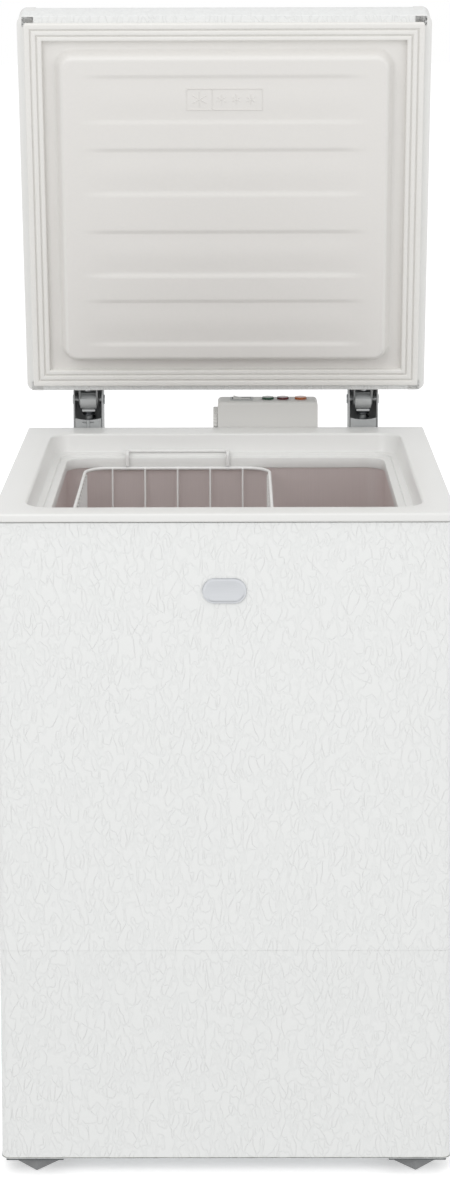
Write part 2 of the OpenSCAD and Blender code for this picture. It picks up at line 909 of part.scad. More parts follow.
module control_screws() {
    color(mid_grey)
        for (x = control_xs, z = control_zs)
            back_screw(x, z, flange_y + ear_t, 10);
}

module lamp_board() {
    color([0.2, 0.4, 0.25]) {
        block([50, 112], [252, box_y1 - box_t], [box_z1 - 18, box_z1 - 16]);
        for (x = lamp_xs)
            translate([x, lamp_y, box_z1 - 16 - eps])
                cylinder(h = 8, r = 3);
    }
}

module lamp_lenses() {
    for (i = [0:2])
        color([[0.1, 0.5, 0.2], [0.6, 0.08, 0.08], [0.8, 0.42, 0.1]][i])
            translate([lamp_xs[i], lamp_y, 0]) {
                translate([0, 0, box_z1 - box_t - eps])
                    cylinder(h = box_t + 1, r = lamp_r);
                translate([0, 0, box_z1 - box_t - 1.5])
                    cylinder(h = 1.5, r = lamp_r + 1.6);
            }
}

// Switch body with a bezel and the rocker's axle.
axle_z = pivot_z - 3;
axle_r = 1.2;
module rocker_switch() {
    color(dark_grey) {
        difference() {
            union() {
                block([rocker_x - 15.5, rocker_x + 15.5], [rocker_y - 11, rocker_y + 11],
                    [box_z1, box_z1 + 1.2]);
                block([rocker_x - 13.9, rocker_x + 13.9], [rocker_y - 9.4, rocker_y + 9.4],
                    [box_z1 - 15, box_z1 + eps]);
            }
            block([rocker_x - 12.8, rocker_x + 12.8], [rocker_y - 8.5, rocker_y + 8.5],
                [box_z1 - 13, box_z1 + 2]);
        }
        y_rod(rocker_x, axle_z, [rocker_y - 9, rocker_y + 9], axle_r);
    }
}

// Rocker, pressed down at its right end.
module fast_freeze_rocker() {
    color(dark_grey)
        translate([rocker_x, 0, axle_z])
            rotate([0, rocker_tilt, 0])
                along_y([rocker_y - 8.2, rocker_y + 8.2])
                    difference() {
                        polygon([[-rocker_half, -3], [-4, -7], [4, -7], [rocker_half, -3],
                            [rocker_half, 5], [0, 3.4], [-rocker_half, 5]]);
                        circle(axle_r + fit);
                    }
}

module thermostat_body() {
    color(sheet_grey) {
        block([box_x0 + box_t, 20], [knob_y - 15, knob_y + 15], [knob_z - 15, knob_z + 15]);
        x_rod([box_x0 - knob_t + 1, box_x0 + box_t + eps], knob_y, knob_z, shaft_r);
    }
}

// Sensor of the thermostat in its pocket behind the tub.
bulb_x = 5;
bulb_y = well_y1 + 7;
bulb_z0 = 600;
bulb_z1 = 700;
bulb_entry_z = frame_bottom - 5;
module thermostat_bulb() {
    color(copper) {
        translate([bulb_x, bulb_y, bulb_z0])
            cylinder(h = bulb_z1 - bulb_z0, r = 4);
        pipe_run([[bulb_x, bulb_y, bulb_z1 - 1], [bulb_x, bulb_y, bulb_entry_z],
            [bulb_x, knob_y, bulb_entry_z], [bulb_x, knob_y, knob_z - 15]], 1);
    }
}

// Ribbed wheel on the left end of the box.
module thermostat_knob() {
    color(mid_grey)
        difference() {
            x_rod([box_x0 - gap - knob_t, box_x0 - gap], knob_y, knob_z, knob_r);
            x_rod([box_x0 - knob_t + 0.5, box_x0], knob_y, knob_z, shaft_r + fit);
            for (a = [0:15:359])
                translate([box_x0 - gap - knob_t - 1, knob_y, knob_z])
                    rotate([a, 0, 0])
                        translate([0, knob_r + 0.8, 0])
                            rotate([0, 90, 0])
                                cylinder(h = knob_t + 2, r = 1.6);
        }
}

// ---- Hinges ----

module hinge_screw_holes() {
    for (s = [-1, 1], e = [-1, 1], z = [housing_z0 + 20, ear_top - 15])
        y_rod(s * hinge_x + e * (housing_half + 8), z, [flange_y - 12, flange_y + 3], screw_r + fit);
}

module housing_profile() {
    polygon([[flange_y, housing_z0], [pivot_y + hood_r, housing_z0], [pivot_y + hood_r, pivot_z],
        [pivot_y - hood_r, pivot_z], [pivot_y - hood_r, wrap_top], [flange_y, wrap_top]]);
    translate([pivot_y, pivot_z])
        circle(hood_r);
}

// Channel open to the front that carries the pin and the spring.
module hinge_housing(x) {
    color(mid_grey)
        translate([x, 0, 0])
            difference() {
                union() {
                    difference() {
                        along_x([-housing_half, housing_half])
                            housing_profile();
                        along_x([plate_t - housing_half, housing_half - plate_t])
                            housing_channel();
                    }
                    block([plate_t - housing_half - eps, housing_half - plate_t + eps],
                        [flange_y, pivot_y + hood_r - 1], [shelf_z, shelf_z + plate_t]);
                    for (s = [-1, 1])
                        block([s * (housing_half + ear_w / 2) - ear_w / 2 - eps,
                            s * (housing_half + ear_w / 2) + ear_w / 2 + eps],
                            [flange_y, flange_y + ear_t], [housing_z0, ear_top]);
                }
                x_rod([-housing_half - 1, housing_half + 1], pivot_y, pivot_z, pin_r + fit);
                for (e = [-1, 1], z = [housing_z0 + 20, ear_top - 15])
                    y_rod(e * (housing_half + 8), z, [flange_y - 1, flange_y + 3], screw_r + fit);
            }
}

// Space inside the channel: everything in front of its rear wall and hood.
module housing_channel() {
    translate([flange_y - 1, housing_z0 + plate_t])
        square([pivot_y + hood_r - plate_t - flange_y + 1, pivot_z - housing_z0 - plate_t]);
    translate([pivot_y, pivot_z])
        circle(hood_r - plate_t);
    translate([flange_y - 1, pivot_z - eps])
        square([pivot_y + hood_open - flange_y + 1, hood_r + 2]);
}

module hinge_housing_left() { hinge_housing(-hinge_x); }
module hinge_housing_right() { hinge_housing(hinge_x); }

module hinge_pins() {
    color(sheet_grey)
        for (s = [-1, 1]) {
            x_rod([s * hinge_x - housing_half - 2, s * hinge_x + housing_half + 2], pivot_y, pivot_z, pin_r);
            for (e = [-1, 1])
                x_rod([s * hinge_x + e * (housing_half + 1) - 1, s * hinge_x + e * (housing_half + 1) + 1],
                    pivot_y, pivot_z, pin_r + 2.5);
        }
}

module hinge_screws() {
    color(mid_grey)
        for (s = [-1, 1], e = [-1, 1], z = [housing_z0 + 20, ear_top - 15])
            back_screw(s * hinge_x + e * (housing_half + 8), z, flange_y + ear_t, 10);
}

// Cam edge: its reach below the pin grows evenly as the lid turns down.
function cam_point(a) =
    let (reach = cam_r0 + cam_rate * a * PI / 180)
    [-reach * sin(a) - cam_rate * cos(a), -reach * cos(a) + cam_rate * sin(a)];

// Arm in the closed position: two cheeks, a mounting plate and the cam.
module hinge_arm(x) {
    y = -lid_gap_y;
    color(mid_grey)
        opened()
            translate([x, pivot_y, pivot_z])
                difference() {
                    union() {
                        for (s = [-1, 1])
                            along_x([s * (arm_half - arm_t / 2) - arm_t / 2,
                                s * (arm_half - arm_t / 2) + arm_t / 2]) {
                                polygon([[0, 9], [y, 18], [y, -18], [0, -9]]);
                                circle(9);
                            }
                        block([-17, 17], [y, y + arm_t], [-21, 20]);
                        along_x([-cam_half - eps, cam_half + eps]) {
                            circle(9);
                            rotate(lid_open)
                                polygon(concat([[0, 0]], [for (a = [-6:3:84]) cam_point(a)]));
                        }
                    }
                    x_rod([-arm_half - 1, arm_half + 1], 0, 0, pin_r + fit);
                    for (z = [-16, 15])
                        y_rod(0, z, [y - 1, y + arm_t + 1], screw_r + fit);
                }
}
module hinge_arm_left() { hinge_arm(-hinge_x); }
module hinge_arm_right() { hinge_arm(hinge_x); }

module arm_screws() {
    color(mid_grey)
        opened()
            for (s = [-1, 1], z = [-16, 15])
                back_screw(s * hinge_x, pivot_z + z, lid_y1 + arm_t, 18);
}
module arm_screw_holes() {
    for (s = [-1, 1], z = [-16, 15])
        y_rod(s * hinge_x, pivot_z + z, [lid_y1 - 18, lid_y1 + 2], screw_r + fit);
}

// Follower that the cam pushes down against the spring.
module hinge_plunger(x) {
    color(sheet_grey)
        translate([x, pivot_y, 0]) {
            block([-9, 9], [-12, 10], [plunger_z - plunger_t, plunger_z]);
            translate([0, 0, plunger_z - plunger_t - stem_len])
                cylinder(h = stem_len + eps, r = stem_r);
        }
}
module hinge_plunger_left() { hinge_plunger(-hinge_x); }
module hinge_plunger_right() { hinge_plunger(hinge_x); }

module hinge_spring(x) {
    h = plunger_z - plunger_t - shelf_z - plate_t;
    color(dark_grey)
        translate([x, pivot_y, shelf_z + plate_t])
            linear_extrude(height = h, twist = -360 * spring_turns, slices = 10 * spring_turns)
                translate([spring_r, 0])
                    circle(spring_wire, $fn = spring_sides);
}
module hinge_spring_left() { hinge_spring(-hinge_x); }
module hinge_spring_right() { hinge_spring(hinge_x); }

// ---- Lid ----

// Section of the lid shell, t inside its outer face.
module lid_profile(t, z0) {
    r = lid_fold - t;
    translate([lid_y0 + t, z0])
        square([lid_y1 - lid_y0 - 2 * t, lid_z1 - lid_fold - z0]);
    translate([lid_y0 + lid_fold, lid_z1 - lid_fold - eps])
        square([lid_y1 - lid_y0 - 2 * lid_fold, r + eps]);
    for (y = [lid_y0 + lid_fold, lid_y1 - lid_fold])
        translate([y, lid_z1 - lid_fold])
            circle(r);
}

// Painted sheet folded over the top, front and back, with hems underneath.
module lid_skin() {
    color(white)
        opened()
            difference() {
                along_x([-skin_x, skin_x])
                    difference() {
                        lid_profile(0, lid_z0);
                        lid_profile(sheet_t, lid_z0 + sheet_t);
                        translate([lid_y0 + hem_lid, lid_z0 - 1])
                            square([lid_y1 - lid_y0 - 2 * hem_lid, 3]);
                    }
                arm_screw_holes();
            }
}

// Hollow of an end cap.
module cap_hollow() {
    for (s = [-1, 1])
        block([s * (skin_x + 3.5) - 3.5, s * (skin_x + 3.5) + 3.5],
            [lid_y0 + 9, lid_y1 - 9], [lid_z0 + 2.5, lid_z1 - 2.5]);
}

// Moulded caps that close the two ends of the lid.
module lid_caps() {
    color(white)
        opened()
            difference() {
                round_block([-lid_x, lid_x], [lid_y0, lid_y1], [lid_z0, lid_z1], lid_r);
                block([-skin_x, skin_x], [lid_y0 - 1, lid_y1 + 1], [lid_z0 - 1, lid_z1 + 1]);
                cap_hollow();
            }
}

module pillow(t, top) {
    tapered_block([-pillow_x + t, pillow_x - t], [pillow_y0 + t, pillow_y1 - t],
        [lid_z0 - pillow_h + t, top], pillow_r - t, pillow_draft);
}

module lid_foam() {
    color(foam_yellow)
        opened()
            difference() {
                union() {
                    along_x([-skin_x, skin_x])
                        lid_profile(sheet_t + 0.1, lid_z0 + flange_t + 0.1);
                    cap_hollow();
                    pillow(flange_t, lid_z0 + flange_t + 1);
                }
                arm_screw_holes();
            }
}

// Inner panel: a flat margin for the seal round a raised middle.
module lid_liner() {
    color(warm_white)
        opened()
            difference() {
                union() {
                    round_block([1 - skin_x, skin_x - 1],
                        [lid_y0 + hem_lid + 0.2, lid_y1 - hem_lid - 0.2],
                        [lid_z0, lid_z0 + flange_t], 8);
                    pillow(0, lid_z0 + eps);
                }
                pillow(flange_t, lid_z0 + flange_t + 1);
            }
}

module seal_ring(inset, w, z) {
    difference() {
        round_block([inset - lid_x, lid_x - inset], [lid_y0 + inset, lid_y1 - inset], z, 20 - inset / 4);
        round_block([inset + w - lid_x, lid_x - inset - w],
            [lid_y0 + inset + w, lid_y1 - inset - w], [z[0] - 1, z[1] + 1], 14);
    }
}

// Soft seal with three ridges.
module lid_gasket() {
    color([0.88, 0.88, 0.87])
        opened()
            difference() {
                seal_ring(seal_out, seal_w, [seal_z, lid_z0]);
                seal_ring(seal_out + 7.5, 1.6, [seal_z - 1, seal_z + 3.5]);
                seal_ring(seal_out + 15.5, 1.6, [seal_z - 1, seal_z + 3.5]);
            }
}

// ---- Basket ----

// Closed wire loop in plan, with a hairline joint at each end of its four bends.
module wire_loop(hw, hd, r, z, wire) {
    end = r + joint;
    translate([basket_x, basket_yc, z]) {
        for (s = [-1, 1]) {
            rod([s * hw, end - hd, 0], [s * hw, hd - end, 0], wire);
            rod([end - hw, s * hd, 0], [hw - end, s * hd, 0], wire);
        }
        for (i = [0:3])
            translate([(i == 0 || i == 3 ? 1 : -1) * (hw - r), (i < 2 ? 1 : -1) * (hd - r), 0])
                rotate(90 * i)
                    rotate_extrude(angle = 90)
                        translate([r, 0])
                            circle(wire);
    }
}

// Wire down one wall, across the floor and up the other, drawn in X and Z, with a hairline joint
// at the foot of each wall.
module u_wire(half, depth, bend, wire) {
    for (s = [-1, 1])
        rod([s * half, 0, bend + joint - depth], [s * half, 0, 1], wire);
    rod([bend - half, 0, -depth], [half - bend, 0, -depth], wire);
    for (s = [-1, 1])
        translate([s * (half - bend), 0, bend - depth])
            rotate([90, 0, 0])
                rotate(s > 0 ? -90 : 180)
                    rotate_extrude(angle = 90)
                        translate([bend, 0])
                            circle(wire);
}

// Four wire walls and a wire floor, each welded from crossing wires.
module basket_wires() {
    inset = rim_r + wire_r - 0.7;
    color(white) {
        wire_loop(basket_hw, basket_hd, basket_r, basket_z, rim_r);
        for (drop = [65, 140])
            wire_loop(basket_hw - 0.7, basket_hd - 0.7, basket_r, basket_z - drop, loop_r);
        for (i = [0:front_wires - 1])
            translate([basket_x + (i - (front_wires - 1) / 2) * wire_pitch, basket_yc, basket_z])
                rotate(90)
                    u_wire(basket_hd - inset, basket_h, wire_bend, wire_r);
        for (i = [0:side_wires - 1])
            translate([basket_x, basket_yc + (i - (side_wires - 1) / 2) * side_pitch, basket_z])
                u_wire(basket_hw - inset, basket_h - 2, wire_bend, wire_r);
    }
}

// Bail drawn for the rear rim: eyes round the rim wire and a bar that rests on the frame's ledge.
module bail() {
    h = handle_z - basket_z;
    for (s = [-1, 1])
        difference() {
            x_rod([s * handle_half - eye_w / 2, s * handle_half + eye_w / 2], 0, 0, eye_r);
            x_rod([s * handle_half - eye_w, s * handle_half + eye_w], 0, 0, rim_r + fit);
        }
    pipe_run([[-handle_half, 0, eye_r - 0.6], [-handle_half, 0, h], [-handle_half, handle_out, h],
        [handle_half, handle_out, h], [handle_half, 0, h], [handle_half, 0, eye_r - 0.6]], handle_r);
}

module basket_handle_rear() {
    color(white)
        translate([basket_x, basket_y1, basket_z])
            bail();
}

module basket_handle_front() {
    color(white)
        translate([basket_x, basket_y0, basket_z])
            mirror([0, 1, 0])
                bail();
}

cabinet_wrap();
back_panel();
base_pan();
top_frame();
liner();
cabinet_foam();
bulkhead();
evaporator_coil();
condenser_coil();
corner_plates();
foot_front_left();
foot_front_right();
foot_rear_left();
foot_rear_right();
front_badge();
compressor_tray();
compressor_shell();
compressor_grommets();
compressor_bolts();
terminal_cover();
start_relay();
filter_drier();
capillary_tube();
suction_pipe();
discharge_pipe();
rear_cover();
cover_screws();
cord_gland();
wiring_loom();
drain_tube();
drain_plug();
drain_cap();
control_housing();
control_screws();
lamp_board();
lamp_lenses();
rocker_switch();
fast_freeze_rocker();
thermostat_body();
thermostat_bulb();
thermostat_knob();
hinge_housing_left();
hinge_housing_right();
hinge_pins();
hinge_screws();
hinge_plunger_left();
hinge_plunger_right();
hinge_spring_left();
hinge_spring_right();
hinge_arm_left();
hinge_arm_right();
arm_screws();
lid_skin();
lid_foam();
lid_liner();
lid_gasket();
lid_caps();
basket_wires();
basket_handle_front();
basket_handle_rear();
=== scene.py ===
"""Looks of the chest freezer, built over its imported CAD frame.

Metres throughout, in the frame's axes: X to the right, Y to the back, Z up. The lid's pieces are
drawn closed, in the lid's own coordinates, and their objects are turned open about the hinge pins.
"""

import json
import logging
import math
from dataclasses import dataclass, field, replace
from enum import Enum
from typing import Iterable, Sequence

import bmesh
import bpy
from mathutils import Matrix, Quaternion, Vector


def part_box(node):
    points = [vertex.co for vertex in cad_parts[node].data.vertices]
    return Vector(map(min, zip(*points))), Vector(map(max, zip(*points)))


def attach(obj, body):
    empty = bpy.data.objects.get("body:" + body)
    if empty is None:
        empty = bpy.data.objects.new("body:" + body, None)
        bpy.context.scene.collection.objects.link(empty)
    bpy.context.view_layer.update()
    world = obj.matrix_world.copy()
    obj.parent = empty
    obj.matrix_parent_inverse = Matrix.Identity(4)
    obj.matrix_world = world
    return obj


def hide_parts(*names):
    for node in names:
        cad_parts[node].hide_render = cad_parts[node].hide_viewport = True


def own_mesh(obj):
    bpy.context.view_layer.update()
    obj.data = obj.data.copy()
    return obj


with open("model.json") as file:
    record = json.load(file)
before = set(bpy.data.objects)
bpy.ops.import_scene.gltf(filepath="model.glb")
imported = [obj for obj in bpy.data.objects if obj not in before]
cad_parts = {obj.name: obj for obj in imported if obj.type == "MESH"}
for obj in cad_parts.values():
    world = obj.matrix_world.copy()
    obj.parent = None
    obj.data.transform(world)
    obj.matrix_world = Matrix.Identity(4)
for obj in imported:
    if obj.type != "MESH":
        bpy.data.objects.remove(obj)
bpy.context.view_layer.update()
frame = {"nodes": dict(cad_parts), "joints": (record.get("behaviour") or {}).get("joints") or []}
LOG = logging.getLogger("freezer")
SMALL = 0.0003
COAT_ROUGHNESS = 0.15


# ---- Shapes ----


def add_mesh(name: str, points: Iterable[Vector], faces: Iterable[Sequence[int]],
             sharp: float = 40.0) -> bpy.types.Object:
    """Makes a smooth-shaded mesh object with its normals outwards.

    Args:
        name: the piece's name.
        points: corner positions in metres.
        faces: corner numbers of each face.
        sharp: edges that turn more than this many degrees stay sharp.

    Returns:
        The new object, linked to the scene.
    """
    mesh = bpy.data.meshes.new(name)
    mesh.from_pydata([tuple(p) for p in points], [], [tuple(f) for f in faces])
    work = bmesh.new()
    work.from_mesh(mesh)
    bmesh.ops.recalc_face_normals(work, faces=work.faces)
    work.to_mesh(mesh)
    work.free()
    mesh.polygons.foreach_set("use_smooth", [True] * len(mesh.polygons))
    mesh.set_sharp_from_angle(angle=math.radians(sharp))
    piece = bpy.data.objects.new(name, mesh)
    bpy.context.scene.collection.objects.link(piece)
    return piece


def rounded(points: Iterable[Sequence[float]], radius: float, steps: int = 8,
            closed: bool = False) -> list[Vector]:
    """Turns the corners of a line into arcs.

    Args:
        points: the line's corners.
        radius: radius of every arc.
        steps: straight pieces in each arc.
        closed: whether the line comes back to its start.

    Returns:
        Points along the rounded line.
    """
    corners = [Vector(p) for p in points]
    last = len(corners) - 1
    line: list[Vector] = []
    for number, corner in enumerate(corners):
        if not closed and number in (0, last):
            line.append(corner)
            continue
        before = (corners[number - 1] - corner).normalized()
        after = (corners[(number + 1) % len(corners)] - corner).normalized()
        half = before.angle(after) / 2
        centre = corner + (before + after).normalized() * radius / math.sin(half)
        arm = corner + before * radius / math.tan(half) - centre
        turn = arm.cross(after - before)
        for step in range(steps + 1):
            line.append(centre + Quaternion(turn, (math.pi - 2 * half) * step / steps) @ arm)
    return line


def loft(name: str, rings: Sequence[Sequence[Vector]], ring_closed: bool = True, loop: bool = False,
         caps: bool = True, sharp: float = 40.0) -> bpy.types.Object:
    """Skins a row of rings that have the same number of points.

    Args:
        name: the piece's name.
        rings: the rings, in order.
        ring_closed: whether each ring comes back to its start.
        loop: whether the last ring joins the first.
        caps: whether the open ends are filled.
        sharp: edges that turn more than this many degrees stay sharp.

    Returns:
        The new object.
    """
    count = len(rings[0])
    across = count if ring_closed else count - 1
    along = len(rings) if loop else len(rings) - 1
    faces: list[tuple[int, ...]] = []
    for i in range(along):
        for j in range(across):
            k, m = (i + 1) % len(rings), (j + 1) % count
            faces.append((i * count + j, i * count + m, k * count + m, k * count + j))
    if caps and ring_closed and not loop:
        faces.append(tuple(range(count)))
        faces.append(tuple(range((len(rings) - 1) * count, len(rings) * count)))
    if caps and loop and not ring_closed:
        faces.append(tuple(i * count for i in range(len(rings))))
        faces.append(tuple(i * count + count - 1 for i in range(len(rings))))
    return add_mesh(name, [p for ring in rings for p in ring], faces, sharp)


def wire_rings(path: Sequence[Vector], radius: float, sides: int, closed: bool) -> list[list[Vector]]:
    """Circles set square to a path, each carried on from the one before without twist.

    Args:
        path: centre line of the wire.
        radius: radius of the wire.
        sides: points in each circle.
        closed: whether the path comes back to its start.

    Returns:
        One ring of points for each point of the path.
    """
    rings: list[list[Vector]] = []
    count = len(path)
    side = Vector()
    for number, point in enumerate(path):
        ahead = path[(number + 1) % count] if closed or number < count - 1 else point
        behind = path[number - 1] if closed or number else point
        tangent = (ahead - behind).normalized()
        if not number:
            side = tangent.orthogonal()
        side = (side - tangent * side.dot(tangent)).normalized()
        other = tangent.cross(side)
        rings.append([point + radius * (math.cos(a) * side + math.sin(a) * other)
                      for a in (2 * math.pi * k / sides for k in range(sides))])
    return rings


def wires(name: str, paths: Iterable[tuple[Sequence[Vector], float, bool]],
          sides: int = 10) -> bpy.types.Object:
    """Makes one piece of several round wires.

    Args:
        name: the piece's name.
        paths: for each wire its centre line, its radius and whether it is a closed loop.
        sides: flats around the wire.

    Returns:
        The new object.
    """
    points: list[Vector] = []
    faces: list[tuple[int, ...]] = []
    for path, radius, closed in paths:
        start = len(points)
        rings = wire_rings(path, radius, sides, closed)
        points.extend(p for ring in rings for p in ring)
        for i in range(len(rings) if closed else len(rings) - 1):
            for j in range(sides):
                k, m = (i + 1) % len(rings), (j + 1) % sides
                corners = (i * sides + j, i * sides + m, k * sides + m, k * sides + j)
                faces.append(tuple(start + n for n in corners))
        if not closed:
            faces.append(tuple(start + j for j in range(sides)))
            faces.append(tuple(start + (len(rings) - 1) * sides + j for j in range(sides)))
    return add_mesh(name, points, faces, 50.0)


def top_edges(work: bmesh.types.BMesh, reach: float) -> list[bmesh.types.BMEdge]:
    """Sharp edges round the outside of a shape's top.

    Args:
        work: the shape.
        reach: how far in from the top's own box an edge still counts as outside.

    Returns:
        The edges.
    """
    height = max(v.co.z for v in work.verts) - SMALL
    top = [v.co for v in work.verts if v.co.z > height]
    x0, x1 = min(p.x for p in top) + reach, max(p.x for p in top) - reach
    y0, y1 = min(p.y for p in top) + reach, max(p.y for p in top) - reach
    edges: list[bmesh.types.BMEdge] = []
    for edge in work.edges:
        middle = (edge.verts[0].co + edge.verts[1].co) / 2
        outside = not (x0 < middle.x < x1 and y0 < middle.y < y1)
        if outside and min(v.co.z for v in edge.verts) > height and len(edge.link_faces) == 2:
            if edge.calc_face_angle() > math.radians(60.0):
                edges.append(edge)
    return edges


def softened(node: str, width: float, crown: float = 0.0) -> bpy.types.Object:
    """Copies a CAD node's shape and breaks its sharp edges.

    Args:
        node: name of the CAD node.
        width: width of the broken edge in metres.
        crown: radius to give the outer edges of the node's top, or 0 to treat them like the others.

    Returns:
        The new object, named after the node.
    """
    work = bmesh.new()
    work.from_mesh(frame["nodes"][node].data)
    bmesh.ops.remove_doubles(work, verts=work.verts, dist=1e-5)
    bmesh.ops.dissolve_limit(work, angle_limit=math.radians(1.0), verts=work.verts, edges=work.edges)
    if crown:
        bmesh.ops.bevel(work, geom=top_edges(work, crown), offset=crown, offset_type="OFFSET", segments=6,
                        profile=0.5, clamp_overlap=True, affect="EDGES")
    edges = [e for e in work.edges if len(e.link_faces) == 2 and e.calc_face_angle() > math.radians(32.0)]
    bmesh.ops.bevel(work, geom=edges, offset=width, offset_type="OFFSET", segments=2,
                    profile=0.5, clamp_overlap=True, affect="EDGES")
    work.verts.index_update()
    points = [v.co.copy() for v in work.verts]
    faces = [tuple(v.index for v in f.verts) for f in work.faces]
    work.free()
    return add_mesh(node + "_finished", points, faces, 38.0)


def ease(value: float, low: float, high: float) -> float:
    """Goes from 0 at low to 1 at high with soft ends."""
    t = min(max((value - low) / (high - low), 0.0), 1.0)
    return t * t * (3 - 2 * t)


@dataclass(frozen=True)
class Plan:
    """Rounded rectangle seen from above."""

    x0: float
    x1: float
    y0: float
    y1: float
    front: float
    rear: float
    steps: int = 8

    def inset(self, distance: float) -> "Plan":
        """The same outline moved inwards."""
        return replace(self, x0=self.x0 + distance, x1=self.x1 - distance, y0=self.y0 + distance,
                       y1=self.y1 - distance, front=max(self.front - distance, SMALL),
                       rear=max(self.rear - distance, SMALL))

    def ring(self, height: float) -> list[Vector]:
        """Points of the outline at a height."""
        ring: list[Vector] = []
        for x, y, radius, start in ((self.x1 - self.front, self.y0 + self.front, self.front, -90),
                                    (self.x1 - self.rear, self.y1 - self.rear, self.rear, 0),
                                    (self.x0 + self.rear, self.y1 - self.rear, self.rear, 90),
                                    (self.x0 + self.front, self.y0 + self.front, self.front, 180)):
            for step in range(self.steps + 1):
                angle = math.radians(start + 90 * step / self.steps)
                ring.append(Vector((x + radius * math.cos(angle), y + radius * math.sin(angle), height)))
        return ring

    def depth_inside(self, x: float, y: float) -> float:
        """How far a point lies inside the outline, negative outside."""
        qx = abs(x - (self.x0 + self.x1) / 2) - ((self.x1 - self.x0) / 2 - self.front)
        qy = abs(y - (self.y0 + self.y1) / 2) - ((self.y1 - self.y0) / 2 - self.front)
        return self.front - math.hypot(max(qx, 0.0), max(qy, 0.0)) - min(max(qx, qy), 0.0)


def quarter(radius: float, steps: int = 4) -> list[tuple[float, float]]:
    """Run and drop along a quarter round, from its start at (0, radius) to its end at (radius, 0)."""
    angles = [math.pi / 2 * k / steps for k in range(steps + 1)]
    return [(radius * (1 - math.cos(a)), radius * (1 - math.sin(a))) for a in angles]


def grid_faces(columns: int, rows: int) -> list[tuple[int, ...]]:
    """Faces of a grid whose points run along each row in turn."""
    wide = columns + 1
    return [(r * wide + c, r * wide + c + 1, (r + 1) * wide + c + 1, (r + 1) * wide + c)
            for r in range(rows) for c in range(columns)]


def eased_corner(inset: float, height: float, radius: float, across: int,
                 up: int) -> list[tuple[float, float]]:
    """Small round corner of a stepped profile.

    Args:
        inset: inset of the corner.
        height: height of the corner.
        radius: radius of the round.
        across: 1 when the flat beside the corner runs inwards, -1 when it runs outwards.
        up: 1 when the upright stands over the corner, -1 when it hangs under it.

    Returns:
        Inset and height of three points, from the upright to the flat, or back when it hangs.
    """
    line = [(inset + across * run, height + up * drop) for run, drop in quarter(radius, 2)]
    return line if up > 0 else line[::-1]


def lid_joint() -> dict:
    """The record of the lid's hinge: its axis, place and range."""
    return next(joint for joint in frame["joints"] if joint["name"] == "lid_hinge")


# ---- Finishes ----


def srgb(code: str) -> tuple[float, float, float, float]:
    """Turns an sRGB hex value into a linear colour.

    Args:
        code: six hex digits.

    Returns:
        Red, green, blue and alpha.
    """
    levels = [int(code[k:k + 2], 16) / 255 for k in (0, 2, 4)]
    linear = [v / 12.92 if v <= 0.04045 else ((v + 0.055) / 1.055) ** 2.4 for v in levels]
    return (linear[0], linear[1], linear[2], 1.0)


def add_node(tree: bpy.types.NodeTree, kind: str, settings: dict | None = None,
             links: dict | None = None) -> bpy.types.Node:
    """Adds a node with its settings and the links into it.

    Args:
        tree: the material's node tree.
        kind: the node's type name.
        settings: values by input name or number, or by attribute name.
        links: for each input name or number, the node and the output it comes from.

    Returns:
        The new node.
    """
    node = tree.nodes.new(kind)
    for key, value in (settings or {}).items():
        if isinstance(key, int) or key in node.inputs:
            node.inputs[key].default_value = value
        else:
            setattr(node, key, value)
    for key, (source, output) in (links or {}).items():
        tree.links.new(source.outputs[output], node.inputs[key])
    return node


class Texture(Enum):
    """How a surface's relief was made."""

    SPARK = "spark-eroded mould"
    EMBOSSED = "roll-embossed grain"
    STREAK = "rolled or drawn"
    SPANGLE = "zinc crystals"
    FLOW = "dipped or poured"
    CELL = "foamed"


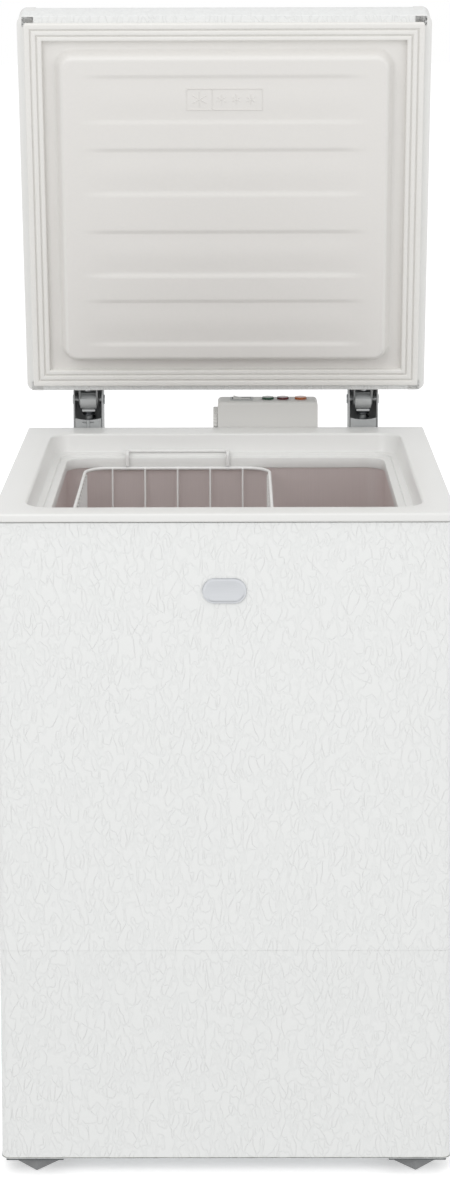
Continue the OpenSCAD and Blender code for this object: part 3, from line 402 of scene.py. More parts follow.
@dataclass(frozen=True)
class Finish:
    """A real material and how its surface was made.

    colour and shade are sRGB hex values of the flat and of the relief's low parts, which take on the
    shade colour by the given share: where that colour is the darker one it is painted shade in creases,
    pits and grooves, except in zinc spangle, where it is each crystal's own tone; on the black finishes
    it is a paler tone. cell is the size of the pattern along each axis and lean its tilt in degrees;
    depth is the relief's height; cloud is the size of the slow patches that change the roughness by
    spread and the colour by clouding.
    """

    name: str
    slot: str
    colour: str
    shade: str
    roughness: float
    metallic: float = 0.0
    ior: float = 1.5
    spread: float = 0.06
    cloud: float = 0.12
    texture: Texture = Texture.SPARK
    cell: tuple[float, float, float] = (0.0009, 0.0009, 0.0009)
    lean: tuple[float, float, float] = (0.0, 0.0, 0.0)
    depth: float = 0.00006
    strength: float = 0.4
    # Share of the shade colour in the relief's low parts: painted shade in creases, pits and grooves where
    # that colour is darker, the crystals' own tone in zinc spangle.
    tone_and_hollow_shade: float = 0.35
    crease: float = 0.05
    clouding: float = 0.2
    coat: float = 0.0
    sheen: float = 0.0

    def cells(self, tree: bpy.types.NodeTree, where: bpy.types.Node, side: int) -> bpy.types.Node:
        """Coordinates counted in cells of the pattern.

        Args:
            tree: the material's node tree.
            where: the coordinate node.
            side: 1 or -1, which way the pattern leans.

        Returns:
            The mapping node.
        """
        lean = tuple(side * math.radians(angle) for angle in self.lean)
        turned = add_node(tree, "ShaderNodeMapping", {"vector_type": "POINT", "Rotation": lean},
                          {"Vector": (where, "Object")})
        return add_node(tree, "ShaderNodeMapping",
                        {"vector_type": "POINT", "Scale": tuple(1 / size for size in self.cell)},
                        {"Vector": (turned, "Vector")})

    def creases(self, tree: bpy.types.NodeTree, where: bpy.types.Node, side: int) -> bpy.types.Node:
        """Narrow creases between long cells.

        Args:
            tree: the material's node tree.
            where: the coordinate node.
            side: 1 or -1, which way the creases lean.

        Returns:
            The node whose Result is 0 in a crease and 1 on the flat.
        """
        noise = add_node(tree, "ShaderNodeTexNoise", {"Scale": 1.0, "Detail": 1.0, "Roughness": 0.45},
                         {"Vector": (self.cells(tree, where, side), "Vector")})
        centred = add_node(tree, "ShaderNodeMath", {"operation": "SUBTRACT", 1: 0.5}, {0: (noise, "Fac")})
        folded = add_node(tree, "ShaderNodeMath", {"operation": "ABSOLUTE"}, {0: (centred, 0)})
        return add_node(tree, "ShaderNodeMapRange",
                        {"interpolation_type": "SMOOTHSTEP", "From Max": self.crease}, {"Value": (folded, 0)})

    def relief(self, tree: bpy.types.NodeTree, where: bpy.types.Node) -> tuple[bpy.types.Node, str | int]:
        """Height of the surface's own pattern.

        Args:
            tree: the material's node tree.
            where: the coordinate node.

        Returns:
            The node and the output that hold the height, from 0 to 1.
        """
        if self.texture is Texture.EMBOSSED:
            pair = [self.creases(tree, where, side) for side in (1, -1)]
            return add_node(tree, "ShaderNodeMath", {"operation": "MULTIPLY"},
                            {0: (pair[0], "Result"), 1: (pair[1], "Result")}), 0
        grid = self.cells(tree, where, 1)
        if self.texture in (Texture.SPANGLE, Texture.CELL):
            crystal = add_node(tree, "ShaderNodeTexVoronoi", {"Scale": 1.0},
                               {"Vector": (grid, "Vector")})
            if self.texture is Texture.CELL:
                return crystal, "Distance"
            tone = add_node(tree, "ShaderNodeSeparateColor", {}, {"Color": (crystal, "Color")})
            return tone, "Red"
        detail = {Texture.SPARK: 2.0, Texture.STREAK: 3.0, Texture.FLOW: 0.0}[self.texture]
        noise = add_node(tree, "ShaderNodeTexNoise", {"Scale": 1.0, "Detail": detail},
                         {"Vector": (grid, "Vector")})
        return noise, "Fac"

    def material(self) -> bpy.types.Material:
        """The material, made once and shared."""
        made = bpy.data.materials.get(self.name)
        if made:
            return made
        made = bpy.data.materials.new(self.name)
        made.use_nodes = True
        tree = made.node_tree
        tree.nodes.clear()
        where = add_node(tree, "ShaderNodeTexCoord")
        height, output = self.relief(tree, where)
        cloud = add_node(tree, "ShaderNodeTexNoise", {"Scale": 1 / self.cloud, "Detail": 2.0},
                         {"Vector": (where, "Object")})
        # The relief's low parts take on the shade colour: painted shade in creases, pits and grooves, except
        # the crystals' own tone in zinc spangle and a paler tone on black finishes.
        low = add_node(tree, "ShaderNodeMapRange",
                       {"From Min": 0.0, "From Max": 1.0, "To Min": self.tone_and_hollow_shade, "To Max": 0.0},
                       {"Value": (height, output)})
        share = add_node(tree, "ShaderNodeMath",
                         {"operation": "MULTIPLY_ADD", 1: self.clouding, "use_clamp": True},
                         {0: (cloud, "Fac"), 2: (low, "Result")})
        colour = add_node(tree, "ShaderNodeMix",
                          {"data_type": "RGBA", 6: srgb(self.colour), 7: srgb(self.shade)}, {0: (share, 0)})
        rough = add_node(tree, "ShaderNodeMapRange",
                         {"To Min": self.roughness - self.spread, "To Max": self.roughness + self.spread},
                         {"Value": (cloud, "Fac")})
        bump = add_node(tree, "ShaderNodeBump", {"Strength": self.strength, "Distance": self.depth},
                        {"Height": (height, output)})
        body = {"Metallic": self.metallic, "Coat Weight": self.coat, "Coat Roughness": COAT_ROUGHNESS,
                "Sheen Weight": self.sheen}
        if not self.metallic:
            body["IOR"] = self.ior
        shader = add_node(tree, "ShaderNodeBsdfPrincipled", body,
                          {"Base Color": (colour, 2), "Roughness": (rough, "Result"),
                           "Normal": (bump, "Normal")})
        add_node(tree, "ShaderNodeOutputMaterial", {}, {"Surface": (shader, "BSDF")})
        return made


# Pre-painted steel sheet, roll-embossed before bending: satin white with narrow, slightly leaning
# creases, 6 to 15 mm apart and about 25 mm long, each with a thin painted shade along it.
CABINET_STEEL = Finish("embossed_prepainted_steel", "painted_sheet", "E6E7E6", "CFD1D1", 0.45,
                       texture=Texture.EMBOSSED, cell=(0.0105, 0.0105, 0.027), lean=(13, 13, 0),
                       depth=0.0005, strength=0.8, tone_and_hollow_shade=0.12, crease=0.055, clouding=0.08, coat=0.1)
# The same sheet on the lid, where the rolling direction runs front to back.
LID_STEEL = replace(CABINET_STEEL, name="embossed_prepainted_steel_lid", cell=(0.0105, 0.027, 0.0105),
                    lean=(0, 0, 13))
# Extruded and moulded white polystyrene: even, slightly glossy, with a trace of orange peel.
WHITE_PS = Finish("gloss_white_polystyrene", "white_moulding", "E6E6E4", "D9D9D7", 0.34, ior=1.59,
                  cell=(0.0022, 0.0022, 0.0022), depth=0.00004, strength=0.25, tone_and_hollow_shade=0.2, coat=0.2)
# Vacuum-formed polystyrene sheet of the inner lid: softer gloss and a warmer white.
FORMED_PS = Finish("vacuum_formed_polystyrene", "warm_moulding", "E4E2DF", "D6D4CF", 0.42, ior=1.59,
                   cell=(0.004, 0.004, 0.004), depth=0.00006, strength=0.25, tone_and_hollow_shade=0.2, cloud=0.2)
# Rolled aluminium sheet of the tub under a clear lacquer: fine upright rolling streaks smear what it
# reflects, and the lacquer gives it a faintly warm, chalky grey.
TUB_ALUMINIUM = Finish("lacquered_rolled_aluminium", "embossed_aluminium", "E2D8D6", "CFC3C1", 0.45,
                       metallic=0.65, texture=Texture.STREAK, cell=(0.0012, 0.0012, 0.05), depth=0.00008,
                       strength=0.3)
# Hot-dip galvanised sheet: grey crystals about 9 mm across with their own tone.
GALVANISED = Finish("galvanised_sheet_steel", "galvanised_sheet", "B9BCBE", "92979A", 0.42, metallic=1.0,
                    texture=Texture.SPANGLE, cell=(0.009, 0.009, 0.009), depth=0.00003, strength=0.2,
                    tone_and_hollow_shade=0.8)
# Zinc-plated pressed steel: pale grey, cloudy where the plating is thin.
ZINC = Finish("zinc_plated_steel", "zinc_steel", "C4C6C7", "A2A5A6", 0.42, metallic=0.9, cloud=0.02,
              cell=(0.0012, 0.0012, 0.0012), depth=0.00004, strength=0.3)
# Zinc-flake coating baked on the hinges' arms and followers: matt silver grey, more paint than metal.
ZINC_FLAKE = Finish("zinc_flake_coated_steel", "zinc_steel", "C6C8C8", "ABADAD", 0.55, metallic=0.35,
                    cloud=0.02, cell=(0.0012, 0.0012, 0.0012), depth=0.00005, strength=0.3)
# Hard-drawn spring wire, oiled: dark and fairly bright.
SPRING_WIRE = Finish("oiled_spring_wire", "spring_steel", "6E7073", "4B4D50", 0.34, metallic=1.0,
                     texture=Texture.STREAK, cell=(0.0006, 0.0006, 0.004))
# Rigid polyurethane foam, poured in place: cream, matt and full of small cells.
POURED_FOAM = Finish("poured_polyurethane_foam", "rigid_foam", "E8DDB5", "CDBE8C", 0.9, texture=Texture.CELL,
                     cell=(0.0015, 0.0015, 0.0015), depth=0.0004, strength=0.8)
# Drawn aluminium tube of the evaporator.
ALUMINIUM_TUBE = Finish("drawn_aluminium_tube", "bare_aluminium", "C4C6C8", "A4A7AA", 0.35, metallic=1.0,
                        texture=Texture.STREAK, cell=(0.001, 0.001, 0.02))
# Soft drawn copper, a little tarnished where it has been handled.
COPPER = Finish("drawn_copper_tube", "copper", "C8835F", "8E5138", 0.32, metallic=1.0, cloud=0.03,
                texture=Texture.STREAK, cell=(0.001, 0.001, 0.012))
# Stoved black enamel of the compressor: glossy over a slightly rippled coat.
ENAMEL = Finish("stoved_black_enamel", "black_enamel", "1B1C1D", "2A2B2C", 0.28, texture=Texture.FLOW,
                cell=(0.006, 0.006, 0.006), depth=0.0001, coat=0.4)
# Moulded black rubber: matt with a grey bloom.
RUBBER = Finish("moulded_black_rubber", "black_rubber", "232323", "363635", 0.75, ior=1.52, sheen=0.2)
# Black phenolic and nylon of the terminals and wiring.
BLACK_NYLON = Finish("moulded_black_nylon", "black_plastic", "202122", "2E2F30", 0.5, ior=1.53)
# Charcoal ABS of the corner plates: satin, lightly textured.
DARK_ABS = Finish("charcoal_abs", "dark_plastic", "54585A", "45494B", 0.46, ior=1.54, strength=0.5)
# Mid-grey ABS of the hinge housings and the rocker's frame: spark-eroded texture about 1 mm coarse,
# which is coarser than the real one so that it shows.
GREY_ABS = Finish("spark_textured_grey_abs", "grey_plastic", "AEB0B0", "9C9E9F", 0.5, ior=1.54,
                  depth=0.00008, strength=0.55)
# Pale grey ABS of the control box, its wheel and its rocker: same spark texture, lighter pigment.
PALE_ABS = replace(GREY_ABS, name="spark_textured_pale_abs", colour="D3D2CF", shade="C6C5C2")
# Glass-filled grey nylon of the feet, a darker copy of the hinge grey: painted shade for the shadow under the
# cabinet.
SHADED_FOOT_NYLON = replace(GREY_ABS, name="glass_filled_grey_nylon_painted_shade", colour="858687", shade="737475", ior=1.53)
# Bright anodised aluminium of the front plate, brushed along its length.
BADGE_METAL = Finish("brushed_anodised_aluminium", "badge_silver", "C6C8CB", "A9ACB0", 0.3, metallic=1.0,
                     texture=Texture.STREAK, cell=(0.02, 0.0008, 0.0008), strength=0.3)
# Glass-epoxy board with green solder mask.
BOARD = Finish("solder_masked_epoxy", "board_green", "2C5A3C", "1F4630", 0.35, ior=1.55, texture=Texture.FLOW,
               cell=(0.003, 0.003, 0.003), coat=0.3)
# Extruded soft PVC of the lid seal: matt white, greyer in the low spots of its fine relief as painted shade.
SEAL_PVC = Finish("extruded_soft_pvc", "soft_seal", "EBEAE7", "D8D6D1", 0.55, ior=1.53,
                  cell=(0.003, 0.003, 0.003), strength=0.25)
# Steel wire dipped in white vinyl: thick, soft-edged coat with a slow ripple.
DIPPED_WIRE = Finish("vinyl_dipped_steel_wire", "coated_wire", "EDEDEC", "DDDDDA", 0.35, ior=1.53,
                     texture=Texture.FLOW, cell=(0.005, 0.005, 0.005), depth=0.0002, strength=0.4, coat=0.3)


@dataclass(frozen=True)
class LensTint:
    """Colour of one signal lamp's polycarbonate lens, glossy over a dark, unlit lamp."""

    name: str
    colour: str
    shade: str

    def finish(self) -> Finish:
        """Moulded polycarbonate of this tint."""
        return Finish("polycarbonate_" + self.name, "lamp_lens", self.colour, self.shade, 0.14, ior=1.58,
                      cloud=0.01, texture=Texture.FLOW, cell=(0.004, 0.004, 0.004), strength=0.2, coat=0.5)


def dress(piece: bpy.types.Object, finish: Finish, body: str, *stands_for: str) -> bpy.types.Object:
    """Gives a piece its finish and sets it on its body.

    Args:
        piece: the piece.
        finish: its material.
        body: the CAD body it moves with.
        stands_for: CAD nodes it is shown in place of.

    Returns:
        The piece.
    """
    piece.data.materials.clear()
    piece.data.materials.append(finish.material())
    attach(piece, body)
    if stands_for:
        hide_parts(*stands_for)
    LOG.info("%s: %s on %s", piece.name, finish.name, body)
    return piece


def recoat(finish: Finish, *nodes: str) -> None:
    """Gives CAD nodes that stay as they are their finish.

    Args:
        finish: the material.
        nodes: names of the CAD nodes.
    """
    for node in nodes:
        mesh = frame["nodes"][node].data
        mesh.materials.clear()
        mesh.materials.append(finish.material())
        LOG.info("%s: %s", node, finish.name)


def soften(finish: Finish, body: str, width: float, *nodes: str) -> None:
    """Shows CAD nodes with broken edges and a finish.

    Args:
        finish: the material.
        body: the CAD body they ride on.
        width: width of the broken edges in metres.
        nodes: names of the CAD nodes.
    """
    for node in nodes:
        dress(softened(node, width), finish, body, node)


# ---- Cabinet ----


@dataclass
class Cabinet:
    """Outer skin, top frame, tub, base and the plate on the front."""

    skin_corner: float = 0.011
    skin_sheet: float = 0.0008
    skin_fold: float = 0.0012
    hem: float = 0.012
    top_lip: float = 0.004
    frame_corner: float = 0.014
    rear_corner: float = 0.002
    rim_drop: float = 0.010
    skirt_back: float = 0.0045
    skirt_round: float = 0.0008
    rim_round: float = 0.0028
    mouth_round: float = 0.0035
    mouth: Plan = Plan(-0.2355, 0.2355, -0.2495, 0.196, 0.030, 0.030)
    ledge_heights: tuple[float, float, float] = (0.7834, 0.7794, 0.765)
    ledge_insets: tuple[float, float, float] = (0.0042, 0.0126, 0.022)
    ledge_corner: float = 0.0262
    ledge_sheet: float = 0.0014
    ledge_return: float = 0.012
    tub: Plan = Plan(-0.215, 0.215, -0.229, 0.1755, 0.028, 0.028)
    tub_sheet: float = 0.0008
    step_x: float = 0.048
    step_z: float = 0.290
    step_fillet: float = 0.012
    step_nose: float = 0.004
    floor_fillet: float = 0.014
    floor_inset: float = 0.07
    plate_round: float = 0.0007
    plate_border: float = 0.0022

    def wrap(self) -> None:
        """Sheet round the front and both sides, hemmed along the bottom."""
        low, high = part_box("cabinet_wrap")
        sheet, fold, hem, lip = self.skin_sheet, self.skin_fold, self.hem, self.top_lip
        inner = sheet + fold
        profile = [(hem, low.z), (fold, low.z)]
        profile += [(fold - d, low.z + fold - r) for r, d in quarter(fold)]
        profile += [(0.0, high.z - sheet), (SMALL, high.z), (lip, high.z), (lip, high.z - sheet),
                    (sheet, high.z - inner), (sheet, low.z + inner), (inner, low.z + sheet),
                    (hem, low.z + sheet)]
        rings: list[list[Vector]] = []
        for inset, height in profile:
            corners = [(low.x + inset, high.y, height), (low.x + inset, low.y + inset, height),
                       (high.x - inset, low.y + inset, height), (high.x - inset, high.y, height)]
            rings.append(rounded(corners, max(self.skin_corner - inset, SMALL), 10))
        sheet_piece = loft("outer_wrap", rings, ring_closed=False, loop=True)
        dress(sheet_piece, CABINET_STEEL, "cabinet", "cabinet_wrap")

    def top_frame(self) -> None:
        """Moulded rim with its drafted mouth and two ledges."""
        low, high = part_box("top_frame")
        outer = Plan(low.x, high.x, low.y, high.y, self.frame_corner, self.rear_corner)
        skirt, small = high.z - self.rim_drop, self.skirt_round
        rings = [outer.inset(inset).ring(height) for inset, height in
                 ((self.skirt_back, skirt - small), (self.skirt_back, skirt), (small, skirt))]
        rings += [outer.inset(small - d).ring(skirt + small - r) for r, d in quarter(small, 2)]
        rings += [outer.inset(run).ring(high.z - drop) for run, drop in quarter(self.rim_round, 5)]
        rings += [self.mouth.inset(-drop).ring(high.z - run) for run, drop in quarter(self.mouth_round, 5)]
        upper, lower, bottom = self.ledge_heights
        first, second, third = self.ledge_insets
        behind = third - self.ledge_sheet
        steps = eased_corner(first, upper, 0.0015, 1, 1) + eased_corner(second, upper, 0.0008, -1, -1)
        steps += eased_corner(second, lower, 0.0010, 1, 1) + eased_corner(third, lower, 0.0010, -1, -1)
        steps += eased_corner(third, bottom, 0.0006, -1, 1)
        steps += [(behind, bottom), (behind, bottom + self.ledge_return)]
        corner = self.ledge_corner
        for inset, height in steps:
            rings.append(replace(self.mouth.inset(inset), front=corner, rear=corner).ring(height))
        dress(loft("rim_moulding", rings, caps=False, sharp=60), WHITE_PS, "cabinet", "top_frame")

    def tub_lining(self) -> None:
        """Aluminium tub with its step over the compressor room."""
        low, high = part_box("liner")
        floor = low.z + self.tub_sheet
        wall, step = self.tub, self.step_z
        rings = [wall.ring(high.z), wall.ring(step + self.step_fillet)]
        rings += [replace(wall, x1=wall.x1 - d).ring(step + r) for d, r in quarter(self.step_fillet)[1:]]
        narrow = replace(wall, x1=self.step_x)
        rings += [replace(wall, x1=self.step_x + drop).ring(step - run)
                  for run, drop in quarter(self.step_nose)]
        rings.append(narrow.ring(floor + self.floor_fillet))
        rings += [narrow.inset(d).ring(floor + r) for d, r in quarter(self.floor_fillet, 6)[1:]]
        rings.append(narrow.inset(self.floor_inset).ring(floor))
        lining = loft("tub_lining", rings, caps=False)
        work = bmesh.new()
        work.from_mesh(lining.data)
        work.verts.ensure_lookup_table()
        count = len(rings[0])
        work.faces.new([work.verts[k] for k in range((len(rings) - 1) * count, len(rings) * count)])
        bmesh.ops.recalc_face_normals(work, faces=work.faces)
        bmesh.ops.reverse_faces(work, faces=work.faces)
        work.to_mesh(lining.data)
        work.free()
        dress(lining, TUB_ALUMINIUM, "cabinet", "liner")

    def front_plate(self) -> None:
        """Plain pill-shaped plate with a raised border."""
        low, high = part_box("front_badge")
        half_x, half_z = (high.x - low.x) / 2, (high.z - low.z) / 2
        middle = (low + high) / 2
        thick, edge, border = high.y - low.y, self.plate_round, self.plate_border
        sunk = thick - 0.0006
        profile = [(0.0, 0.0), (0.0, thick - edge)] + [(d, thick - r) for d, r in quarter(edge, 3)]
        profile += [(border, thick), (border + 0.0008, sunk), (border + 0.0012, sunk), (0.009, thick - SMALL)]
        end = half_z - 0.0002
        outline = Plan(-half_x, half_x, -half_z, half_z, end, end, 12)
        rings = [[Vector((middle.x + p.x, high.y - height, middle.z + p.y))
                  for p in outline.inset(inset).ring(0)] for inset, height in profile]
        dress(loft("front_plate", rings), BADGE_METAL, "cabinet", "front_badge")

    def build(self) -> None:
        """Makes and dresses the whole sub-assembly."""
        self.wrap()
        self.top_frame()
        self.tub_lining()
        self.front_plate()
        recoat(GALVANISED, "back_panel", "base_pan", "bulkhead")
        recoat(POURED_FOAM, "cabinet_foam")
        recoat(ALUMINIUM_TUBE, "evaporator_coil")
        recoat(COPPER, "condenser_coil")
        soften(DARK_ABS, "cabinet", 0.0008, "corner_plates")
        for end in ("front", "rear"):
            # Feet in the darker nylon: painted shade under the cabinet.
            soften(SHADED_FOOT_NYLON, "cabinet", 0.0012, f"foot_{end}_left", f"foot_{end}_right")
        soften(WHITE_PS, "cabinet", 0.0005, "drain_tube", "drain_plug", "drain_cap")


# ---- Cooling unit ----


@dataclass
class CoolingUnit:
    """Compressor room: compressor, pipes, electrical parts and the louvred cover."""

    hood_depth: float = 0.0035
    hood_height: float = 0.0062
    hood_margin: float = 0.001
    hood_sheet: float = 0.0006
    louvre_height: float = 0.005
    louvre_width: float = 0.060
    louvre_pitch: float = 0.012
    louvre_first: float = 0.062
    louvre_rows: int = 11
    louvre_columns: tuple[float, float] = (0.020, 0.098)

    def louvre_hoods(self) -> None:
        """Pressed hoods that shed water over each slot of the rear cover."""
        low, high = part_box("rear_cover")
        points: list[Vector] = []
        faces: list[tuple[int, ...]] = []
        steps, spans = 5, 8
        for column in self.louvre_columns:
            for row in range(self.louvre_rows):
                x0 = low.x + column - self.hood_margin
                slot = low.z + self.louvre_first + row * self.louvre_pitch
                top = slot + self.louvre_height + self.hood_margin
                start = len(points)
                for span in range(spans + 1):
                    t = span / spans
                    swell = self.hood_depth * min(1.0, 4.0 * t, 4.0 * (1 - t)) ** 0.5
                    for step in range(steps + 1):
                        angle = math.pi / 2 * step / steps
                        points.append(Vector((x0 + t * (self.louvre_width + 2 * self.hood_margin),
                                              high.y + swell * math.sin(angle),
                                              top - self.hood_height * (1 - math.cos(angle)))))
                for span in range(spans):
                    for step in range(steps):
                        k = start + span * (steps + 1) + step
                        faces.append((k, k + 1, k + steps + 2, k + steps + 1))
        hoods = add_mesh("louvre_hoods", points, faces, 60)
        thick = hoods.modifiers.new("sheet", "SOLIDIFY")
        thick.thickness = self.hood_sheet
        dress(hoods, GALVANISED, "cabinet")

    def build(self) -> None:
        """Makes and dresses the whole sub-assembly."""
        self.louvre_hoods()
        soften(GALVANISED, "cabinet", 0.0003, "rear_cover", "compressor_tray")
        soften(ENAMEL, "cabinet", 0.0008, "compressor_shell")
        soften(RUBBER, "cabinet", 0.0008, "compressor_grommets", "cord_gland")
        soften(ZINC, "cabinet", 0.0003, "compressor_bolts", "cover_screws")
        soften(BLACK_NYLON, "cabinet", 0.0008, "terminal_cover", "start_relay")
        recoat(BLACK_NYLON, "wiring_loom")
        recoat(COPPER, "filter_drier", "capillary_tube", "suction_pipe", "discharge_pipe")


# ---- Controls ----


@dataclass
class Controls:
    """Control box with its switch, lamps and thermostat."""

    lens_radius: float = 0.0083
    lens_spots: tuple[float, float, float] = (0.0, 0.0207, 0.0453)
    lens_rise: float = 0.0021
    lens_skirt: float = 0.003
    lens_edge: float = 0.0007
    lens_crown: float = 0.0001
    lens_sides: int = 32
    top_corner: float = 0.005
    tints: tuple[LensTint, ...] = (LensTint("green", "1C4A33", "12301F"),
                                   LensTint("red", "5E1A1C", "3C0F12"),
                                   LensTint("amber", "B5622B", "8B4519"))

    def lenses(self) -> None:
        """Three flat-topped lenses that stand proud of the box."""
        low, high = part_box("lamp_lenses")
        y = (low.y + high.y) / 2
        crown, radius, edge = high.z + self.lens_rise, self.lens_radius, self.lens_edge
        profile = [(radius, high.z - self.lens_skirt), (radius, crown - edge)]
        profile += [(radius - d, crown - r) for d, r in quarter(edge, 3)]
        profile += [(radius * share, crown + self.lens_crown) for share in (0.8, 0.5, 0.2)]
        angles = [2 * math.pi * k / self.lens_sides for k in range(self.lens_sides)]
        for spot, tint in zip(self.lens_spots, self.tints):
            x = low.x + (high.y - low.y) / 2 + spot
            rings = [[Vector((x + r * math.cos(a), y + r * math.sin(a), z)) for a in angles]
                     for r, z in profile]
            dress(loft("lens_" + tint.name, rings), tint.finish(), "cabinet", "lamp_lenses")

    def build(self) -> None:
        """Makes and dresses the whole sub-assembly."""
        self.lenses()
        dress(softened("control_housing", 0.0006, self.top_corner), PALE_ABS, "cabinet", "control_housing")
        soften(GREY_ABS, "cabinet", 0.0005, "rocker_switch")
        soften(PALE_ABS, "rocker", 0.0006, "fast_freeze_rocker")
        soften(PALE_ABS, "knob", 0.0006, "thermostat_knob")
        soften(ZINC, "cabinet", 0.0003, "control_screws", "thermostat_body")
        recoat(BOARD, "lamp_board")
        recoat(COPPER, "thermostat_bulb")


# ---- Hinges ----


@dataclass
class Hinge:
    """One sprung hinge: housing with its face plate, arm, follower and coil spring."""

    side: str
    wire: float = 0.00125
    active_turns: int = 11
    closed_turns: float = 1.5
    travel_ratio: float = 0.0060
    steps: int = 22
    face_half: float = 0.0181
    face_gap: float = 0.0214
    face_low: float = 0.048
    face_top: float = 0.0224
    face_dip: float = 0.0030
    face_hollow: float = 0.0028
    face_sheet: float = 0.0012
    rib_half: float = 0.0017
    rib_rise: float = 0.0020
    slot_below: float = 0.0042
    slot_half: tuple[float, float] = (0.0085, 0.0016)
    slot_depth: float = 0.0016

    def spring(self) -> None:
        """Coil spring with its end turns closed up."""
        node = "hinge_spring_" + self.side
        low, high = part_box(node)
        radius = (high.x - low.x) / 2 - self.wire
        centre = (low + high) / 2
        bottom, top = low.z + self.wire, high.z - self.wire
        closed = self.closed_turns * 2 * self.wire
        turns = self.active_turns + 2 * self.closed_turns
        count = int(turns * self.steps)
        path: list[Vector] = []
        for number in range(count + 1):
            turn = turns * number / count
            if turn < self.closed_turns:
                z = bottom + turn * 2 * self.wire
            elif turn > turns - self.closed_turns:
                z = top - (turns - turn) * 2 * self.wire
            else:
                share = (turn - self.closed_turns) / self.active_turns
                z = bottom + closed + (top - bottom - 2 * closed) * share
            angle = 2 * math.pi * turn
            outwards = Vector((math.cos(angle), math.sin(angle), 0.0))
            path.append(Vector((centre.x, centre.y, z)) + radius * outwards)
        coil = wires("coil_spring_" + self.side, [(path, self.wire, False)])
        dress(coil, SPRING_WIRE, "cabinet", node)
        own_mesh(coil)

    def face_depth(self, x: float, below: float) -> float:
        """How far back the face plate lies.

        Args:
            x: place across the plate, from its middle.
            below: distance under the plate's top edge.

        Returns:
            Depth behind the plate's outer edges.
        """
        depth = self.face_hollow * (1 - (x / self.face_half) ** 2)
        if self.side == "left":
            flank = 0.0006
            wide, high = self.slot_half
            rib = ease(self.rib_half - abs(x), 0.0, 1.5 * flank)
            slot = ease(high - abs(below - self.slot_below), 0.0, flank) * ease(wide - abs(x), 0.0, flank)
            depth += self.slot_depth * slot * (1 - rib) - self.rib_rise * rib
        return depth

    def fascia(self) -> None:
        """Hollow face plate under the pin; the left one also has a rib and a slot."""
        low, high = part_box("hinge_housing_" + self.side)
        pin = Vector(lid_joint()["pos_m"])
        middle, front = (low.x + high.x) / 2, pin.y - self.face_gap
        columns, rows = 84, 56
        points: list[Vector] = []
        for row in range(rows + 1):
            for column in range(columns + 1):
                x = self.face_half * (2 * column / columns - 1)
                top = pin.z - self.face_top - self.face_dip * (1 - (x / self.face_half) ** 2)
                below = (top - pin.z + self.face_low) * row / rows
                points.append(Vector((middle + x, front + self.face_depth(x, below), top - below)))
        plate = add_mesh("hinge_face_" + self.side, points, grid_faces(columns, rows), 180)
        thick = plate.modifiers.new("sheet", "SOLIDIFY")
        thick.thickness = self.face_sheet
        thick.offset = -1.0
        dress(plate, GREY_ABS, "cabinet")

    def build(self) -> None:
        """Makes and dresses the whole sub-assembly."""
        self.fascia()
        self.spring()
        soften(GREY_ABS, "cabinet", 0.0004, "hinge_housing_" + self.side)
        soften(ZINC_FLAKE, "lid", 0.0004, "hinge_arm_" + self.side)
        soften(ZINC_FLAKE, "plunger_" + self.side, 0.0004, "hinge_plunger_" + self.side)


# ---- Lid ----


